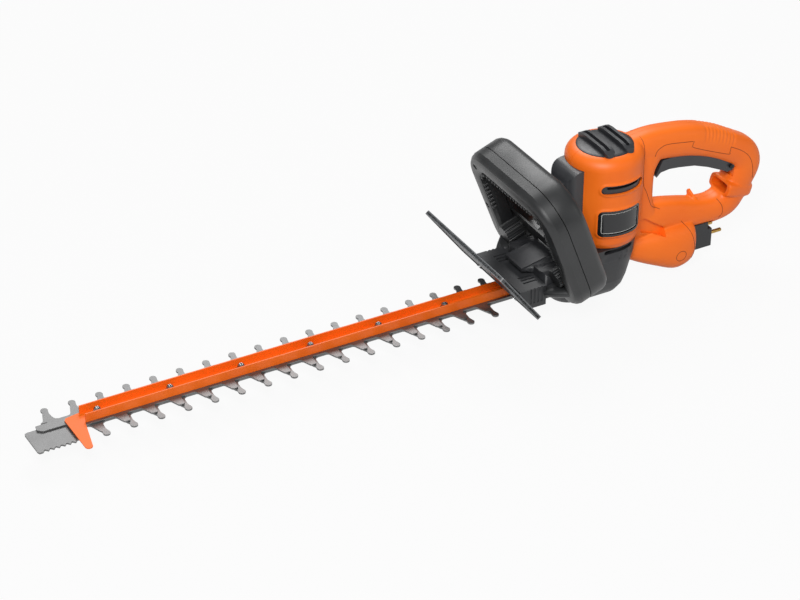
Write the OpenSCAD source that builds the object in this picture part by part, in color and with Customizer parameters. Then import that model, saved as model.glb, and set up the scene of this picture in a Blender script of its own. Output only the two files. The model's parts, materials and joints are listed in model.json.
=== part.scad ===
// Electric hedge trimmer with a two-blade bar, saw tip, hand guard, bail handle and rear D-handle.
// X runs from the blade tip (-X) to the rear handle (+X), Z is up, and the foot of the gear case
// rests on Z = 0 with the motor axis on the Z axis. All lengths are millimetres.

/* [Blades] */
// Distance from one tooth to the next
tooth_pitch = 33; // [28:0.5:38]
// Number of long teeth on the far side
tooth_count = 18; // [14:1:18]
// Number of long teeth on the near side
near_count = 16; // [12:1:16]
// Distance from the motor axis to the first far tooth
blade_reach = 705; // [695:1:730]
// Shift of the near teeth behind the far teeth
near_shift = 44.6; // [40:0.2:48]
// Distance from the blade centre line to the tips of the long teeth
tooth_reach = 38.8; // [34:0.2:44]
// Distance from the blade centre line to the tips of the short ground teeth
short_reach = 28; // [22:0.5:31]
// Half width of the blade strip
strip_half = 13; // [12:0.25:15]
// Thickness of one blade
blade_t = 2; // [1.6:0.1:2.6]
// Running gap between the blades and what they slide on
blade_gap = 0.2; // [0.1:0.05:0.4]
// Throw of each eccentric, half of the blade stroke
throw_r = 8; // [6:0.25:9]
// Rest shift of each blade from the middle of its stroke
rest_shift = 2.5; // [1:0.25:4]
// Length of the saw plate ahead of the first far tooth
saw_nose = 36; // [30:1:42]
// Distance from the centre line to the edge of the saw plate
saw_reach = 35; // [32:0.5:38]
// Pitch of the saw teeth
saw_pitch = 6.4; // [5:0.2:8]
// Depth of the saw teeth
saw_depth = 3.4; // [2:0.2:4]

/* [Blade bar] */
// Outer width of the steel channel
bar_w = 19; // [17:0.5:22]
// Height of the channel
bar_h = 11; // [8:0.5:13]
// Sheet thickness of the channel
bar_t = 1.5; // [1.2:0.1:2]
// Distance from the motor axis to the tip end of the channel
bar_reach = 674; // [665:1:680]
// Length of the flat plate at the end of the channel
leg_plate = 20; // [16:0.5:22]
// Distance from the centre line to the end of the tip leg
leg_reach = 57.5; // [48:0.5:62]
// Width of the tip leg at its end
leg_end_w = 9; // [7:0.5:12]
// Number of bar screws
screw_count = 6; // [4:1:6]
// Distance between bar screws
screw_pitch = 88.4; // [80:0.5:90]
// Distance from the motor axis to the first bar screw
screw_reach = 656; // [650:1:660]
// Radius of the bar screw shank
shank_r = 2; // [1.5:0.1:2.4]
// Outer radius of the guide sleeves
sleeve_r = 3.4; // [3:0.1:4]
// Radius of the bar screw head
head_r = 4.4; // [3.8:0.1:5.5]
// Height of the bar screw head
head_h = 3; // [2:0.2:4]

/* [Gearing] */
// Height of the plane between the two blades above the foot
blade_z = 30; // [28:0.5:33]
// Distance between the motor axis and the gear axle
gear_c = 40; // [38.4:0.4:41.6]
// Number of teeth on the drive gear
gear_teeth = 56; // [56:7:56]
// Number of teeth on the motor pinion
pinion_teeth = 8; // [8:1:8]
// Face width of the gear
gear_w = 8; // [6:0.5:9]
// Radius of the gear axle
axle_r = 4; // [3:0.25:5]
// Radius of the eccentric discs
cam_r = 14; // [13:0.25:15]
// Thickness of an eccentric disc
cam_t = 4; // [3:0.25:5]
// Width of the rim of a blade yoke
yoke_rim = 6; // [5:0.5:7]
// Shaft radius of the armature
shaft_r = 4; // [3:0.25:4]

/* [Gear case] */
// Wall of the gear case
case_wall = 3; // [2.5:0.25:4]
// Half width of the gear case
case_half = 44; // [43:0.5:48]
// Distance from the motor axis to the front face of the case
case_front = 106; // [100:1:112]
// Height of the joint between the case and its cover
case_split = 24; // [22:0.5:25]
// Height of the joint between the case and the motor housing
case_top = 77; // [74:0.5:80]
// Outer radius of the round part of the case at its top
cup_top_r = 42; // [41:0.5:44]
// Outer radius of the round part at the joint with the cover
cup_low_r = 33; // [31:0.5:36]
// Radius of the flat foot
foot_r = 17; // [14:0.5:20]

/* [Guard] */
// Width of the hand guard
guard_w = 176; // [140:1:190]
// Height of the hand guard along its slope
guard_h = 89.5; // [70:1:100]
// Thickness of the guard plate
guard_t = 3; // [2:0.25:4]
// Forward lean of the guard
guard_lean = 37.5; // [30:0.5:45]
// Distance from the motor axis to the guard where the blades pass it
guard_x = 139; // [136:0.5:144]

/* [Bail handle] */
// Forward lean of the bail
bail_lean = 21; // [15:0.5:25]
// Half width of the bail
bail_half = 95; // [85:1:105]
// Distance from the motor axis to the parting plane at the reference height
bail_x = 86; // [82:0.5:92]
// Height of the bail above its reference height, along the lean
bail_up = 102; // [95:1:110]
// Thickness of the bail tube across the loop
bail_n = 28; // [24:0.5:32]
// Depth of the rear shell
bail_rear = 27; // [22:0.5:30]
// Depth of the front shell
bail_front = 21; // [16:0.5:24]
// Travel of the front switch lever
front_travel = 4; // [2:0.5:5]

/* [Motor housing] */
// Largest outer radius of the motor housing
barrel_r = 47; // [45:0.5:50]
// Height of the shoulder of the motor housing
barrel_top = 197; // [190:0.5:200]
// Wall of the housing shells
shell_wall = 2.6; // [2:0.1:3]
// Radius of the opening for the top cap
cap_r = 34; // [32:0.5:36]
// Height of the saddle ribs on the cap
rib_h = 8; // [5:0.5:10]
// Half width of the front cover
cover_half = 23; // [20:0.5:26]
// Distance from the motor axis to the face of the front cover
cover_reach = 67; // [64:0.5:72]

/* [Motor] */
// Outer radius of the field core
core_r = 39; // [36:0.5:41]
// Height of the field core
core_h = 46; // [38:1:50]
// Bore radius of the field core
bore_r = 23; // [21:0.5:25]
// Air gap between the armature and the field core
air_gap = 0.6; // [0.4:0.1:1]

/* [Rear handle] */
// Half width of the rear handle
grip_half = 18; // [16:0.5:20]
// Half width of the trigger
trigger_half = 12; // [9:0.5:13]
// Travel of the trigger in degrees
trigger_travel = 4; // [2:0.5:5]
// Clearance round a moving button or lever
play = 0.4; // [0.3:0.1:0.8]

/* [Inlet] */
// Radius of the inlet pins
pin_r = 2.4; // [2:0.1:2.5]
// Free length of the inlet pins
pin_len = 19; // [15:0.5:20]
// Distance between the inlet pins
pin_space = 19; // [17:0.5:20]
// Height of the inlet pins above the foot
pin_z = 35; // [33:0.5:37]

/* [Hidden] */
$fn = 48;

// Radial clearance of a shaft in its hole, and the gap between seated pieces
fit = 0.05;
seat = 0.3;
// A cut runs this far past the face that it opens
past = 1;

// Heights in the blade stack
lower_top = blade_z - blade_gap / 2;
lower_bottom = lower_top - blade_t;
upper_bottom = blade_z + blade_gap / 2;
upper_top = upper_bottom + blade_t;
bar_z = upper_top + blade_gap;
bar_top = bar_z + bar_h;
washer_t = 1;
nut_h = 3.4;
nut_r = 4;
washer_r = 6.5;
washer_z = lower_bottom - seat - washer_t;

// Long teeth on the far side start at far_x, on the near side at near_x
far_x = -blade_reach;
near_x = far_x + near_shift;
gear_x = -gear_c;

// Blade yokes and eccentrics
cam_play = 0.3;
yoke_in_x = 2 * (cam_r + cam_play);
yoke_in_y = yoke_in_x + 2 * throw_r;
yoke_x = yoke_in_x + 2 * yoke_rim;
yoke_y = yoke_in_y + 2 * yoke_rim;
yoke_corner = yoke_in_x / 2 + yoke_rim - 0.01;
cam_shift_y = sqrt(pow(throw_r, 2) - pow(rest_shift, 2));
upper_cam_z = upper_top + seat;
lower_cam_z = lower_bottom - seat - cam_t;
gear_z = upper_cam_z + cam_t + 0.6;
gear_module = 2 * gear_c / (gear_teeth + pinion_teeth);
gear_r = gear_module * gear_teeth / 2;
pinion_r = gear_module * pinion_teeth / 2;

// Gear case cavities
yoke_room = 1.2;
gear_room = 2;
web_z = gear_z + gear_w + gear_room;
bush_h = 8;
bush_r = 7;
bearing_r = 11;
bearing_h = 7;
web_top = case_top - 19;
axle_low = lower_cam_z - bush_h - 2;
axle_top = web_z + bush_h;
cup_half = case_half - 7;

// Motor stack
fan_z = case_top - 5;
fan_r = 33;
fan_h = 10;
core_z = case_top + 11;
core_top = core_z + core_h;
wind_h = 6;
comm_z = core_top + wind_h + 3;
comm_h = 14;
comm_r = 11;
upper_bearing_z = comm_z + comm_h + 6;
shaft_low = gear_z - 1;
shaft_top = upper_bearing_z + bearing_h;
armature_r = bore_r - air_gap;

// Local frame of the bail: x along Y, y up the lean, z to the rear
bail_ref_z = 100;
bail_mid = bail_half - bail_n / 2;
bail_top = bail_up - bail_n / 2;
bail_corner = 33;
bail_foot_y = case_half + seat;
bail_foot_t = -48;
bail_elbow = 20;

// Position of a point of the bail's local frame in the row frame
function bail_point(s, t, w) = [
    -bail_x - t * sin(bail_lean) + w * cos(bail_lean),
    s,
    bail_ref_z + t * cos(bail_lean) + w * sin(bail_lean)];

module bail_frame() {
    translate([-bail_x, 0, bail_ref_z]) rotate([0, -bail_lean, 0]) rotate([90, 0, 90]) children();
}

// A box given by its lowest and highest corners
module span(low, high) {
    translate(low) cube(high - low);
}

// A solid drawn in X and Z and run along Y from y0 to y1
module along_y(y0, y1) {
    translate([0, y1, 0]) rotate([90, 0, 0]) linear_extrude(y1 - y0) children();
}

// A solid drawn in Y and Z and run along X from x0 to x1
module along_x(x0, x1) {
    translate([x0, 0, 0]) rotate([90, 0, 90]) linear_extrude(x1 - x0) children();
}

// A slot with round ends along X, centred on the origin
module round_slot(length, width) {
    square([length - width, width], center = true);
    for (side = [-1, 1]) translate([side * (length - width) / 2, 0]) circle(d = width);
}

// A rectangle with round corners, centred on the origin
module round_rect(size_x, size_y, r) {
    square([size_x - 2 * r, size_y], center = true);
    square([size_x, size_y - 2 * r], center = true);
    for (sx = [-1, 1], sy = [-1, 1])
        translate([sx * (size_x / 2 - r), sy * (size_y / 2 - r)]) circle(r);
}

// A tube standing on z0
module tube(r_out, r_in, h, z0 = 0) {
    translate([0, 0, z0]) difference() {
        cylinder(r = r_out, h = h);
        translate([0, 0, -past]) cylinder(r = r_in, h = h + 2 * past);
    }
}

// Points of an arc about c from angle a0 to a1
function arc(c, r, a0, a1, n) = [for (i = [0:n]) c + r * [cos(a0 + (a1 - a0) * i / n), sin(a0 + (a1 - a0) * i / n)]];

// ---- Blades -------------------------------------------------------------------------------

tooth_tip_r = 4.2;

// A long blunt tooth pointing along +Y: it leans to the rear and ends in a round knob
module long_tooth() {
    knob_y = tooth_reach - tooth_tip_r;
    polygon(concat(
        [[-13, strip_half - past], [-13, strip_half], [-10.2, strip_half + 1.6], [-8.6, strip_half + 5],
         [-5.2, knob_y - 7], [-3.6, knob_y - 4]],
        arc([0, knob_y], tooth_tip_r, 190, -10, 8),
        [[3, knob_y - 4.6], [2.4, knob_y - 8], [3.2, strip_half + 5], [5, strip_half + 1.6],
         [8, strip_half], [8, strip_half - past]]));
}

// A short cutting tooth pointing along +Y, ground to a narrow end
module short_tooth() {
    polygon([[-10, strip_half - past], [-10, strip_half], [-8.4, strip_half + 2], [-3.6, short_reach - 1],
             [-2.2, short_reach], [2.6, short_reach], [3.8, short_reach - 1], [5.4, strip_half + 2],
             [7, strip_half], [7, strip_half - past]]);
}

// The strip of a blade with its yoke and the slots that the guide sleeves run in.
// shift is how far the blade lies from the middle of its stroke in the rest pose.
module blade_strip(x_tip, shift) {
    yoke_c = gear_x + shift;
    difference() {
        union() {
            translate([x_tip, -strip_half])
                square([yoke_c - yoke_x / 2 + 2 - x_tip, 2 * strip_half]);
            translate([yoke_c, 0]) round_rect(yoke_x, yoke_y, yoke_corner);
        }
        translate([yoke_c, 0]) round_rect(yoke_in_x, yoke_in_y, yoke_in_x / 2 - 0.01);
        for (i = [0:screw_count - 1])
            translate([-screw_reach + i * screw_pitch + shift, 0])
                round_slot(2 * (throw_r + sleeve_r + seat) + past, 2 * (sleeve_r + seat));
    }
}

module upper_blade() {
    nose = -far_x + 22;
    color("#9a9c9e")
    translate([0, 0, upper_bottom]) {
        linear_extrude(blade_t) difference() {
            blade_strip(far_x - 6, -rest_shift);
            translate([far_x - 7, -strip_half - past]) square([16 + leg_plate, strip_half + past - 2]);
        }
        linear_extrude(blade_t)
            polygon([[-nose + 1.5, 10.5], [-nose, 3], [-nose + 5, -2], [far_x + 4, -2], [far_x + 4, strip_half - 2]]);
        for (k = [0:tooth_count - 1])
            translate([far_x + k * tooth_pitch, 0, 0]) linear_extrude(blade_t) long_tooth();
        for (k = [1:near_count - 1]) translate([near_x + k * tooth_pitch - 2 * rest_shift, 0, 0])
            mirror([0, 1, 0]) linear_extrude(blade_t) short_tooth();
    }
}

module lower_blade() {
    saw_x = far_x - saw_nose;
    saw_end = -bar_reach - leg_plate + 4;
    teeth = floor((saw_end - saw_x - 4) / saw_pitch);
    color("#8b8d90")
    translate([0, 0, lower_bottom]) {
        linear_extrude(blade_t) blade_strip(far_x, rest_shift);
        linear_extrude(blade_t) polygon(concat(
            [[far_x + 1, -strip_half + past], [far_x + 1, 7], [saw_x + 4, 7], [saw_x + 1, 6], [saw_x, 3.5],
             [saw_x, -saw_reach + 3], [saw_x + 1.4, -saw_reach]],
            [for (i = [0:teeth - 1], q = [0:1])
                [saw_x + 4 + (i + 0.25 + q * 0.5) * saw_pitch, -saw_reach + (q == 0 ? 0 : saw_depth)]],
            [[saw_end, -saw_reach + saw_depth], [saw_end, -strip_half + past]]));
        for (k = [0:near_count - 1]) translate([near_x + k * tooth_pitch, 0, 0])
            mirror([0, 1, 0]) linear_extrude(blade_t) long_tooth();
        for (k = [2:tooth_count - 1]) translate([far_x + k * tooth_pitch + 2 * rest_shift, 0, 0])
            linear_extrude(blade_t) short_tooth();
    }
}

// ---- Blade bar and its fixings --------------------------------------------------------------

bar_rear = case_front - 26;

module blade_bar() {
    color("#e0580f")
    difference() {
        union() {
            along_x(-bar_reach, -bar_rear) difference() {
                translate([-bar_w / 2, bar_z]) square([bar_w, bar_h]);
                translate([-bar_w / 2 + bar_t, bar_z + bar_t]) square([bar_w - 2 * bar_t, bar_h]);
            }
            translate([0, 0, bar_z]) linear_extrude(bar_t) {
                leg_x = -bar_reach - leg_plate;
                r = leg_end_w / 2;
                polygon(concat(
                    [[-bar_reach + past, bar_w / 2], [-bar_reach, bar_w / 2], [leg_x + 2.5, 6.5], [leg_x, 3]],
                    arc([leg_x + r, -leg_reach + r], r, 180, 360, 8),
                    [[-bar_reach - 1, -bar_w / 2 - 1], [-bar_reach + past, -bar_w / 2]]));
            }
        }
        for (i = [0:screw_count - 1])
            translate([-screw_reach + i * screw_pitch, 0, bar_z - past])
                cylinder(r = shank_r + fit, h = bar_t + 2 * past);
    }
}

module bar_screws() {
    color("#c9cbcd")
    for (i = [0:screw_count - 1])
        translate([-screw_reach + i * screw_pitch, 0, 0]) difference() {
            union() {
                translate([0, 0, washer_z - nut_h - 1]) cylinder(r = shank_r, h = bar_z + bar_t - washer_z + nut_h + 1.5);
                translate([0, 0, bar_z + bar_t]) cylinder(r = head_r, h = head_h);
            }
            translate([-head_r, -0.6, bar_z + bar_t + head_h - 1.2]) cube([2 * head_r, 1.2, 2]);
        }
}

module guide_sleeves() {
    color("#77797b")
    for (i = [0:screw_count - 1])
        translate([-screw_reach + i * screw_pitch, 0, 0])
            tube(sleeve_r, shank_r + fit, bar_z - washer_z - washer_t, washer_z + washer_t);
}

module bar_washers() {
    color("#8a8c8e")
    for (i = [0:screw_count - 1])
        translate([-screw_reach + i * screw_pitch, 0, 0]) tube(washer_r, shank_r + fit, washer_t, washer_z);
}

module bar_nuts() {
    color("#9d9fa1")
    for (i = [0:screw_count - 1])
        translate([-screw_reach + i * screw_pitch, 0, washer_z - nut_h]) difference() {
            cylinder(r = nut_r, h = nut_h, $fn = 6);
            translate([0, 0, -past]) cylinder(r = shank_r + fit, h = nut_h + 2 * past);
        }
}

// ---- Hand guard -------------------------------------------------------------------------------

guard_ref_z = 44;
guard_low = 2.5;
guard_hole_y = 40;

// Local frame of the guard: x along Y, y up its slope, z to the rear
module guard_frame() {
    translate([-guard_x, 0, guard_ref_z]) rotate([0, -guard_lean, 0]) rotate([90, 0, 90]) children();
}

module hand_guard() {
    color("#5b5d5f", 0.7)
    guard_frame() difference() {
        translate([0, guard_h / 2 - guard_low, 0]) linear_extrude(guard_t) round_rect(guard_w, guard_h, 6);
        translate([-bar_w / 2 - seat - 1, -guard_low - past, -past])
            cube([bar_w + 2 * seat + 2, guard_low + past + 1.5, guard_t + 2 * past]);
        for (side = [-1, 1])
            translate([side * guard_hole_y, 6, -past]) cylinder(r = shank_r + fit, h = guard_t + 2 * past);
    }
}

bracket_half = 50;
bracket_low = 34;
bracket_high = 60;

// X of the guard's rear face at height z
function guard_rear(z) = -guard_x + guard_t / cos(guard_lean) - (z - guard_ref_z) * tan(guard_lean);

// Transverse bracket between the guard and the gear case, open below for the blade bar
module guard_bracket() {
    color("#26282a")
    difference() {
        intersection() {
            along_y(-bracket_half, bracket_half)
                polygon([[guard_rear(bracket_low), bracket_low], [guard_rear(bracket_high - 5), bracket_high - 5],
                         [guard_rear(bracket_high) + 6, bracket_high], [-case_front, bracket_high],
                         [-case_front, bracket_low]]);
            translate([-case_front - 12, 0, bracket_low - past]) linear_extrude(bracket_high)
                round_rect(90, 2 * bracket_half, 20);
        }
        span([-guard_x - 20, -bar_w / 2 - seat, bracket_low - past], [-case_front + past, bar_w / 2 + seat, bar_top + seat]);
        for (side = [-1, 1], i = [0:3])
            translate([-case_front - 6 - i * 5, side * bracket_half, bracket_low + 6])
                cylinder(r = 1.2, h = bracket_high, $fn = 16);
        guard_frame() for (side = [-1, 1])
            translate([side * guard_hole_y, 6, guard_t - past]) cylinder(r = shank_r + fit, h = 12 + past);
    }
}

module guard_screws() {
    color("#b9bbbd")
    guard_frame() for (side = [-1, 1]) translate([side * guard_hole_y, 6, 0]) {
        cylinder(r = shank_r, h = guard_t + 11);
        translate([0, 0, -2]) cylinder(r = 4, h = 2);
    }
}

// ---- Gear case --------------------------------------------------------------------------------

tub_x = -44;
tub_mid_z = 56;
web_r = case_half - 3;
gear_cavity_r = gear_r + gear_module + gear_room;
front_low = 34;
front_high = 71;
front_rear_x = -22;
tunnel_half = strip_half + 1.2;
ramp_half = 18.5;
ear_r = 5;
ear_h = 6;
case_screw_r = 2;
// Centres of the four screw ears of the gear case
ears = [[-60, 34], [-60, -34]];
// Centres of the two inner screw bosses at its rear
bosses = [[21, 14], [21, -14]];
boss_r = 5;

cover_line = [[0, 0], [foot_r, 0], [foot_r + 6, 3.5], [cup_low_r - 4, 12], [cup_low_r, case_split], [0, case_split]];
case_line = [[0, case_split], [cup_low_r, case_split], [cup_top_r - 2, tub_mid_z], [cup_top_r, case_top], [0, case_top]];
cover_room = [[0, case_wall], [foot_r, case_wall], [foot_r + 4, case_wall + 3.5], [cup_low_r - 4 - case_wall, 13],
              [cup_low_r - case_wall, case_split], [cup_low_r - case_wall, case_split + past], [0, case_split + past]];
yoke_space = [[0, case_split - past], [cup_low_r - case_wall, case_split - past],
              [cup_low_r - case_wall + 2.5, gear_z], [cup_low_r - case_wall + 2.5, web_z], [0, web_z]];

// Turns a half outline into a tub with half-round ends at tub_x and at the motor axis
module tub(line) {
    translate([tub_x, 0, 0]) rotate([0, 0, 90]) rotate_extrude(angle = 180) polygon(line);
    rotate([0, 0, -90]) rotate_extrude(angle = 180) polygon(line);
    along_x(tub_x, 0) {
        polygon(line);
        mirror([1, 0]) polygon(line);
    }
}

module case_outside() {
    tub(case_line);
    intersection() {
        along_x(-case_front, front_rear_x) polygon(concat(
            [for (p = [[tunnel_half + 3, case_split + past], [tunnel_half + 5, front_low], [case_half - 4, front_low],
                       [case_half, front_low + 4], [case_half, front_high - 6], [case_half - 6, front_high]]) p],
            [for (p = [[case_half - 6, front_high], [case_half, front_high - 6], [case_half, front_low + 4],
                       [case_half - 4, front_low], [tunnel_half + 5, front_low], [tunnel_half + 3, case_split + past]])
                [-p[0], p[1]]]));
        translate([-case_front / 2 + front_rear_x / 2, 0, 0]) linear_extrude(case_top)
            round_rect(case_front + front_rear_x, 2 * case_half, 12);
    }
    along_y(-ramp_half, ramp_half)
        polygon([[-case_front - 15, 66], [-case_front - 15, 70], [-71, 80.5], [-71, 70], [-case_front, 62]]);
    for (p = ears) translate([p[0], p[1], case_split]) cylinder(r = ear_r, h = 2 * ear_h + 4);
}

module gear_case() {
    color("#25272a")
    difference() {
        case_outside();
        difference() {
            tub(yoke_space);
            for (p = bosses) translate([p[0], p[1], case_split]) cylinder(r = boss_r, h = web_z - case_split + past);
        }
        translate([gear_x, 0, gear_z - 1.5]) cylinder(r = gear_cavity_r, h = gear_w + gear_room + 1.5);
        // Tunnel for the blades and the bar, and its opening in the front wall
        span([-case_front - past, -tunnel_half, lower_bottom - 1.2], [gear_x, tunnel_half, bar_z]);
        span([-case_front - past - 20, -bar_w / 2 - seat, bar_z - past], [-bar_rear + seat, bar_w / 2 + seat, bar_top + seat]);
        // Seats of the axle bush, of the motor's lower bearing and the hole of the pinion
        translate([gear_x, 0, web_z - past]) cylinder(r = bush_r + fit, h = bush_h + past);
        translate([0, 0, web_z + 3]) cylinder(r = bearing_r + fit, h = case_top);
        translate([0, 0, web_z - past]) cylinder(r = bearing_r - 3, h = case_top);
        // Room of the fan with its air slots
        translate([0, 0, web_top]) cylinder(r = fan_r + 3, h = case_top);
        for (side = [-1, 1], i = [-2:2])
            translate([i * 11, side * (cup_top_r - 3), web_top + 9]) cube([6, 16, 12], center = true);
        for (p = concat(ears, bosses)) translate([p[0], p[1], case_split - past])
            cylinder(r = case_screw_r + fit, h = 12 + past);
        // Holes of the housing screws
        for (p = case_posts) translate([p[0], p[1], web_top - 4]) cylinder(r = case_screw_r + fit, h = case_top);
    }
}

case_posts = [[-66, 24], [-66, -24]];

module gear_case_cover() {
    color("#2c2e31")
    difference() {
        union() {
            difference() {
                union() {
                    tub(cover_line);
                    for (p = ears) translate([p[0], p[1], case_split - ear_h]) cylinder(r = ear_r, h = ear_h);
                }
                difference() {
                    tub(cover_room);
                    for (p = bosses) translate([p[0], p[1], 0]) cylinder(r = boss_r, h = case_split);
                }
            }
            translate([gear_x, 0, case_wall - past]) cylinder(r = bush_r + 4, h = axle_low + bush_h - case_wall + past);
        }
        translate([gear_x, 0, axle_low]) cylinder(r = bush_r + fit, h = bush_h + past);
        for (p = concat(ears, bosses)) translate([p[0], p[1], 0])
            cylinder(r = case_screw_r + fit, h = case_split + past);
        for (p = bosses) translate([p[0], p[1], -past]) cylinder(r = 4, h = case_split - ear_h + past);
    }
}

module cover_screws() {
    color("#a4a6a8")
    for (p = concat(ears, bosses)) translate([p[0], p[1], case_split - ear_h]) {
        cylinder(r = case_screw_r, h = ear_h + 11);
        translate([0, 0, -2.4]) difference() {
            cylinder(r = 3.8, h = 2.4);
            translate([0, 0, -past]) cylinder(r = 1.6, h = 1.2 + past, $fn = 6);
        }
    }
}

// ---- Gear train -------------------------------------------------------------------------------

pressure = 20;
tooth_play = 0.22;

// Angle by which an involute of base radius rb has turned when it reaches radius r
function involute(rb, r) = let (a = acos(min(1, rb / r))) tan(a) * 180 / PI - a;

// Outline of a spur gear, tooth flanks as involutes above the base circle
module gear_outline(teeth, addendum, dedendum) {
    rp = gear_module * teeth / 2;
    rb = rp * cos(pressure);
    ro = rp + addendum * gear_module;
    rr = rp - dedendum * gear_module;
    start = max(rb, rr);
    half = 90 / teeth - tooth_play / 2 / rp * 180 / PI + involute(rb, rp);
    polygon([for (i = [0:teeth - 1], p = concat(
        [[rr, -half - 0.3]],
        [for (q = [0:3]) let (r = start + (ro - start) * q / 3) [r, -half + involute(rb, r)]],
        [for (q = [3:-1:0]) let (r = start + (ro - start) * q / 3) [r, half - involute(rb, r)]],
        [[rr, half + 0.3]])) p[0] * [cos(i * 360 / teeth + p[1]), sin(i * 360 / teeth + p[1])]]);
}

module drive_gear() {
    color("#b3b5b7")
    translate([gear_x, 0, gear_z]) difference() {
        linear_extrude(gear_w) gear_outline(gear_teeth, 0.8, 1.2);
        translate([0, 0, -past]) cylinder(r = axle_r + fit, h = gear_w + 2 * past);
        for (i = [0:5]) rotate([0, 0, i * 60 + 30]) translate([gear_r * 0.58, 0, -past])
            cylinder(r = gear_r * 0.17, h = gear_w + 2 * past);
    }
}

module upper_eccentric() {
    color("#8f8271")
    difference() {
        translate([gear_x - rest_shift, cam_shift_y, upper_cam_z]) cylinder(r = cam_r, h = cam_t);
        translate([gear_x, 0, upper_cam_z - past]) cylinder(r = axle_r + fit, h = cam_t + 2 * past);
    }
}

module lower_eccentric() {
    color("#8f8271")
    difference() {
        translate([gear_x + rest_shift, -cam_shift_y, lower_cam_z]) cylinder(r = cam_r, h = cam_t);
        translate([gear_x, 0, lower_cam_z - past]) cylinder(r = axle_r + fit, h = cam_t + 2 * past);
    }
}

module gear_axle() {
    color("#c6c8ca")
    translate([gear_x, 0, axle_low]) cylinder(r = axle_r, h = axle_top - axle_low);
}

module axle_bushes() {
    color("#b08d4c")
    translate([gear_x, 0, 0]) {
        tube(bush_r, axle_r + fit, bush_h, axle_low);
        tube(bush_r, axle_r + fit, bush_h, web_z);
    }
}

// ---- Motor ------------------------------------------------------------------------------------

slots = 12;

module armature_shaft() {
    color("#c9cbcd")
    translate([0, 0, shaft_low]) cylinder(r = shaft_r - 0.6, h = shaft_top - shaft_low);
    color("#c9cbcd")
    translate([0, 0, gear_z]) rotate([0, 0, 180]) rotate([0, 0, 180 / pinion_teeth])
        linear_extrude(gear_w) gear_outline(pinion_teeth, 0.8, 1.15);
}

module armature_core() {
    color("#6f7173")
    translate([0, 0, core_z]) difference() {
        cylinder(r = armature_r, h = core_h);
        translate([0, 0, -past]) cylinder(r = shaft_r - 0.6 + fit, h = core_h + 2 * past);
        for (i = [0:slots - 1]) rotate([0, 0, i * 360 / slots])
            translate([armature_r - 8, -1.6, -past]) cube([9, 3.2, core_h + 2 * past]);
    }
}

module armature_windings() {
    color("#a5602d")
    for (z = [core_z - wind_h, core_top])
        tube(armature_r - 2, shaft_r + 2, wind_h, z);
    color("#a5602d")
    for (i = [0:slots - 1]) rotate([0, 0, i * 360 / slots])
        translate([armature_r - 7.6, -1.4, core_z - 1]) cube([5.4, 2.8, core_h + 2]);
}

module commutator() {
    color("#b9763f")
    difference() {
        tube(comm_r, shaft_r - 0.6 + fit, comm_h, comm_z);
        for (i = [0:2 * slots - 1]) rotate([0, 0, (i + 0.5) * 180 / slots])
            translate([comm_r - 1, -0.3, comm_z - past]) cube([2, 0.6, comm_h - 1]);
    }
}

module cooling_fan() {
    color("#3b3d40")
    difference() {
        union() {
            translate([0, 0, fan_z]) cylinder(r = fan_r, h = 1.8);
            translate([0, 0, fan_z]) cylinder(r = 9, h = fan_h - 1);
            for (i = [0:8]) rotate([0, 0, i * 40]) translate([8, -0.8, fan_z]) cube([fan_r - 8.4, 1.6, fan_h - 1]);
        }
        translate([0, 0, fan_z - past]) cylinder(r = shaft_r - 0.6 + fit, h = fan_h + 2 * past);
    }
}

// Ball bearing: two rings with their balls
module ball_bearing(z) {
    track_r = (bearing_r + shaft_r) / 2;
    tube(bearing_r, bearing_r - 2, bearing_h, z);
    tube(shaft_r + 1.4, shaft_r - 0.6 + fit, bearing_h, z);
    for (i = [0:7]) rotate([0, 0, i * 45]) translate([track_r - 0.1, 0, z + bearing_h / 2])
        sphere(r = (bearing_r - shaft_r - 3.4) / 2, $fn = 20);
}

module lower_bearing() {
    color("#bfc1c3") ball_bearing(web_z + 3);
}

module upper_bearing() {
    color("#bfc1c3") ball_bearing(upper_bearing_z);
}

module field_core() {
    color("#6a6c6e")
    translate([0, 0, core_z]) linear_extrude(core_h) difference() {
        circle(r = core_r);
        difference() {
            circle(r = core_r - 6);
            intersection() {
                circle(r = core_r - 5);
                square([2 * core_r, 2 * pole_half], center = true);
            }
            for (side = [-1, 1]) intersection() {
                circle(r = bore_r + 2.6);
                translate([side * bore_r, 0]) square([bore_r, 4 * pole_half - 2], center = true);
            }
        }
        circle(r = bore_r);
    }
}

pole_half = 9;

module field_coils() {
    color("#a5602d")
    for (side = [0, 180]) rotate([0, 0, side]) difference() {
        intersection() {
            translate([0, 0, core_z - 5]) difference() {
                cylinder(r = core_r - 6.4, h = core_h + 10);
                translate([0, 0, -past]) cylinder(r = bore_r + 3, h = core_h + 12);
            }
            span([0, -pole_half - 7, core_z - 5], [core_r, pole_half + 7, core_top + 5]);
        }
        span([0, -pole_half - 0.2, core_z - 0.2], [core_r, pole_half + 0.2, core_top + 0.2]);
    }
}

brush_w = 6;
brush_in = comm_r + 0.1;
brush_out = comm_r + 14;

module carbon_brushes() {
    color("#333436")
    for (side = [0, 180]) rotate([0, 0, side])
        span([brush_in, -brush_w / 2, comm_z + 4], [brush_out, brush_w / 2, comm_z + 10]);
}

module brush_holders() {
    color("#b5914f")
    for (side = [0, 180]) rotate([0, 0, side]) difference() {
        span([comm_r + 2, -brush_w / 2 - 1.4, comm_z + 2.6], [barrel_r - 8, brush_w / 2 + 1.4, comm_z + 11.4]);
        span([comm_r, -brush_w / 2 - fit, comm_z + 4 - fit], [barrel_r - 10, brush_w / 2 + fit, comm_z + 10 + fit]);
    }
}

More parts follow.
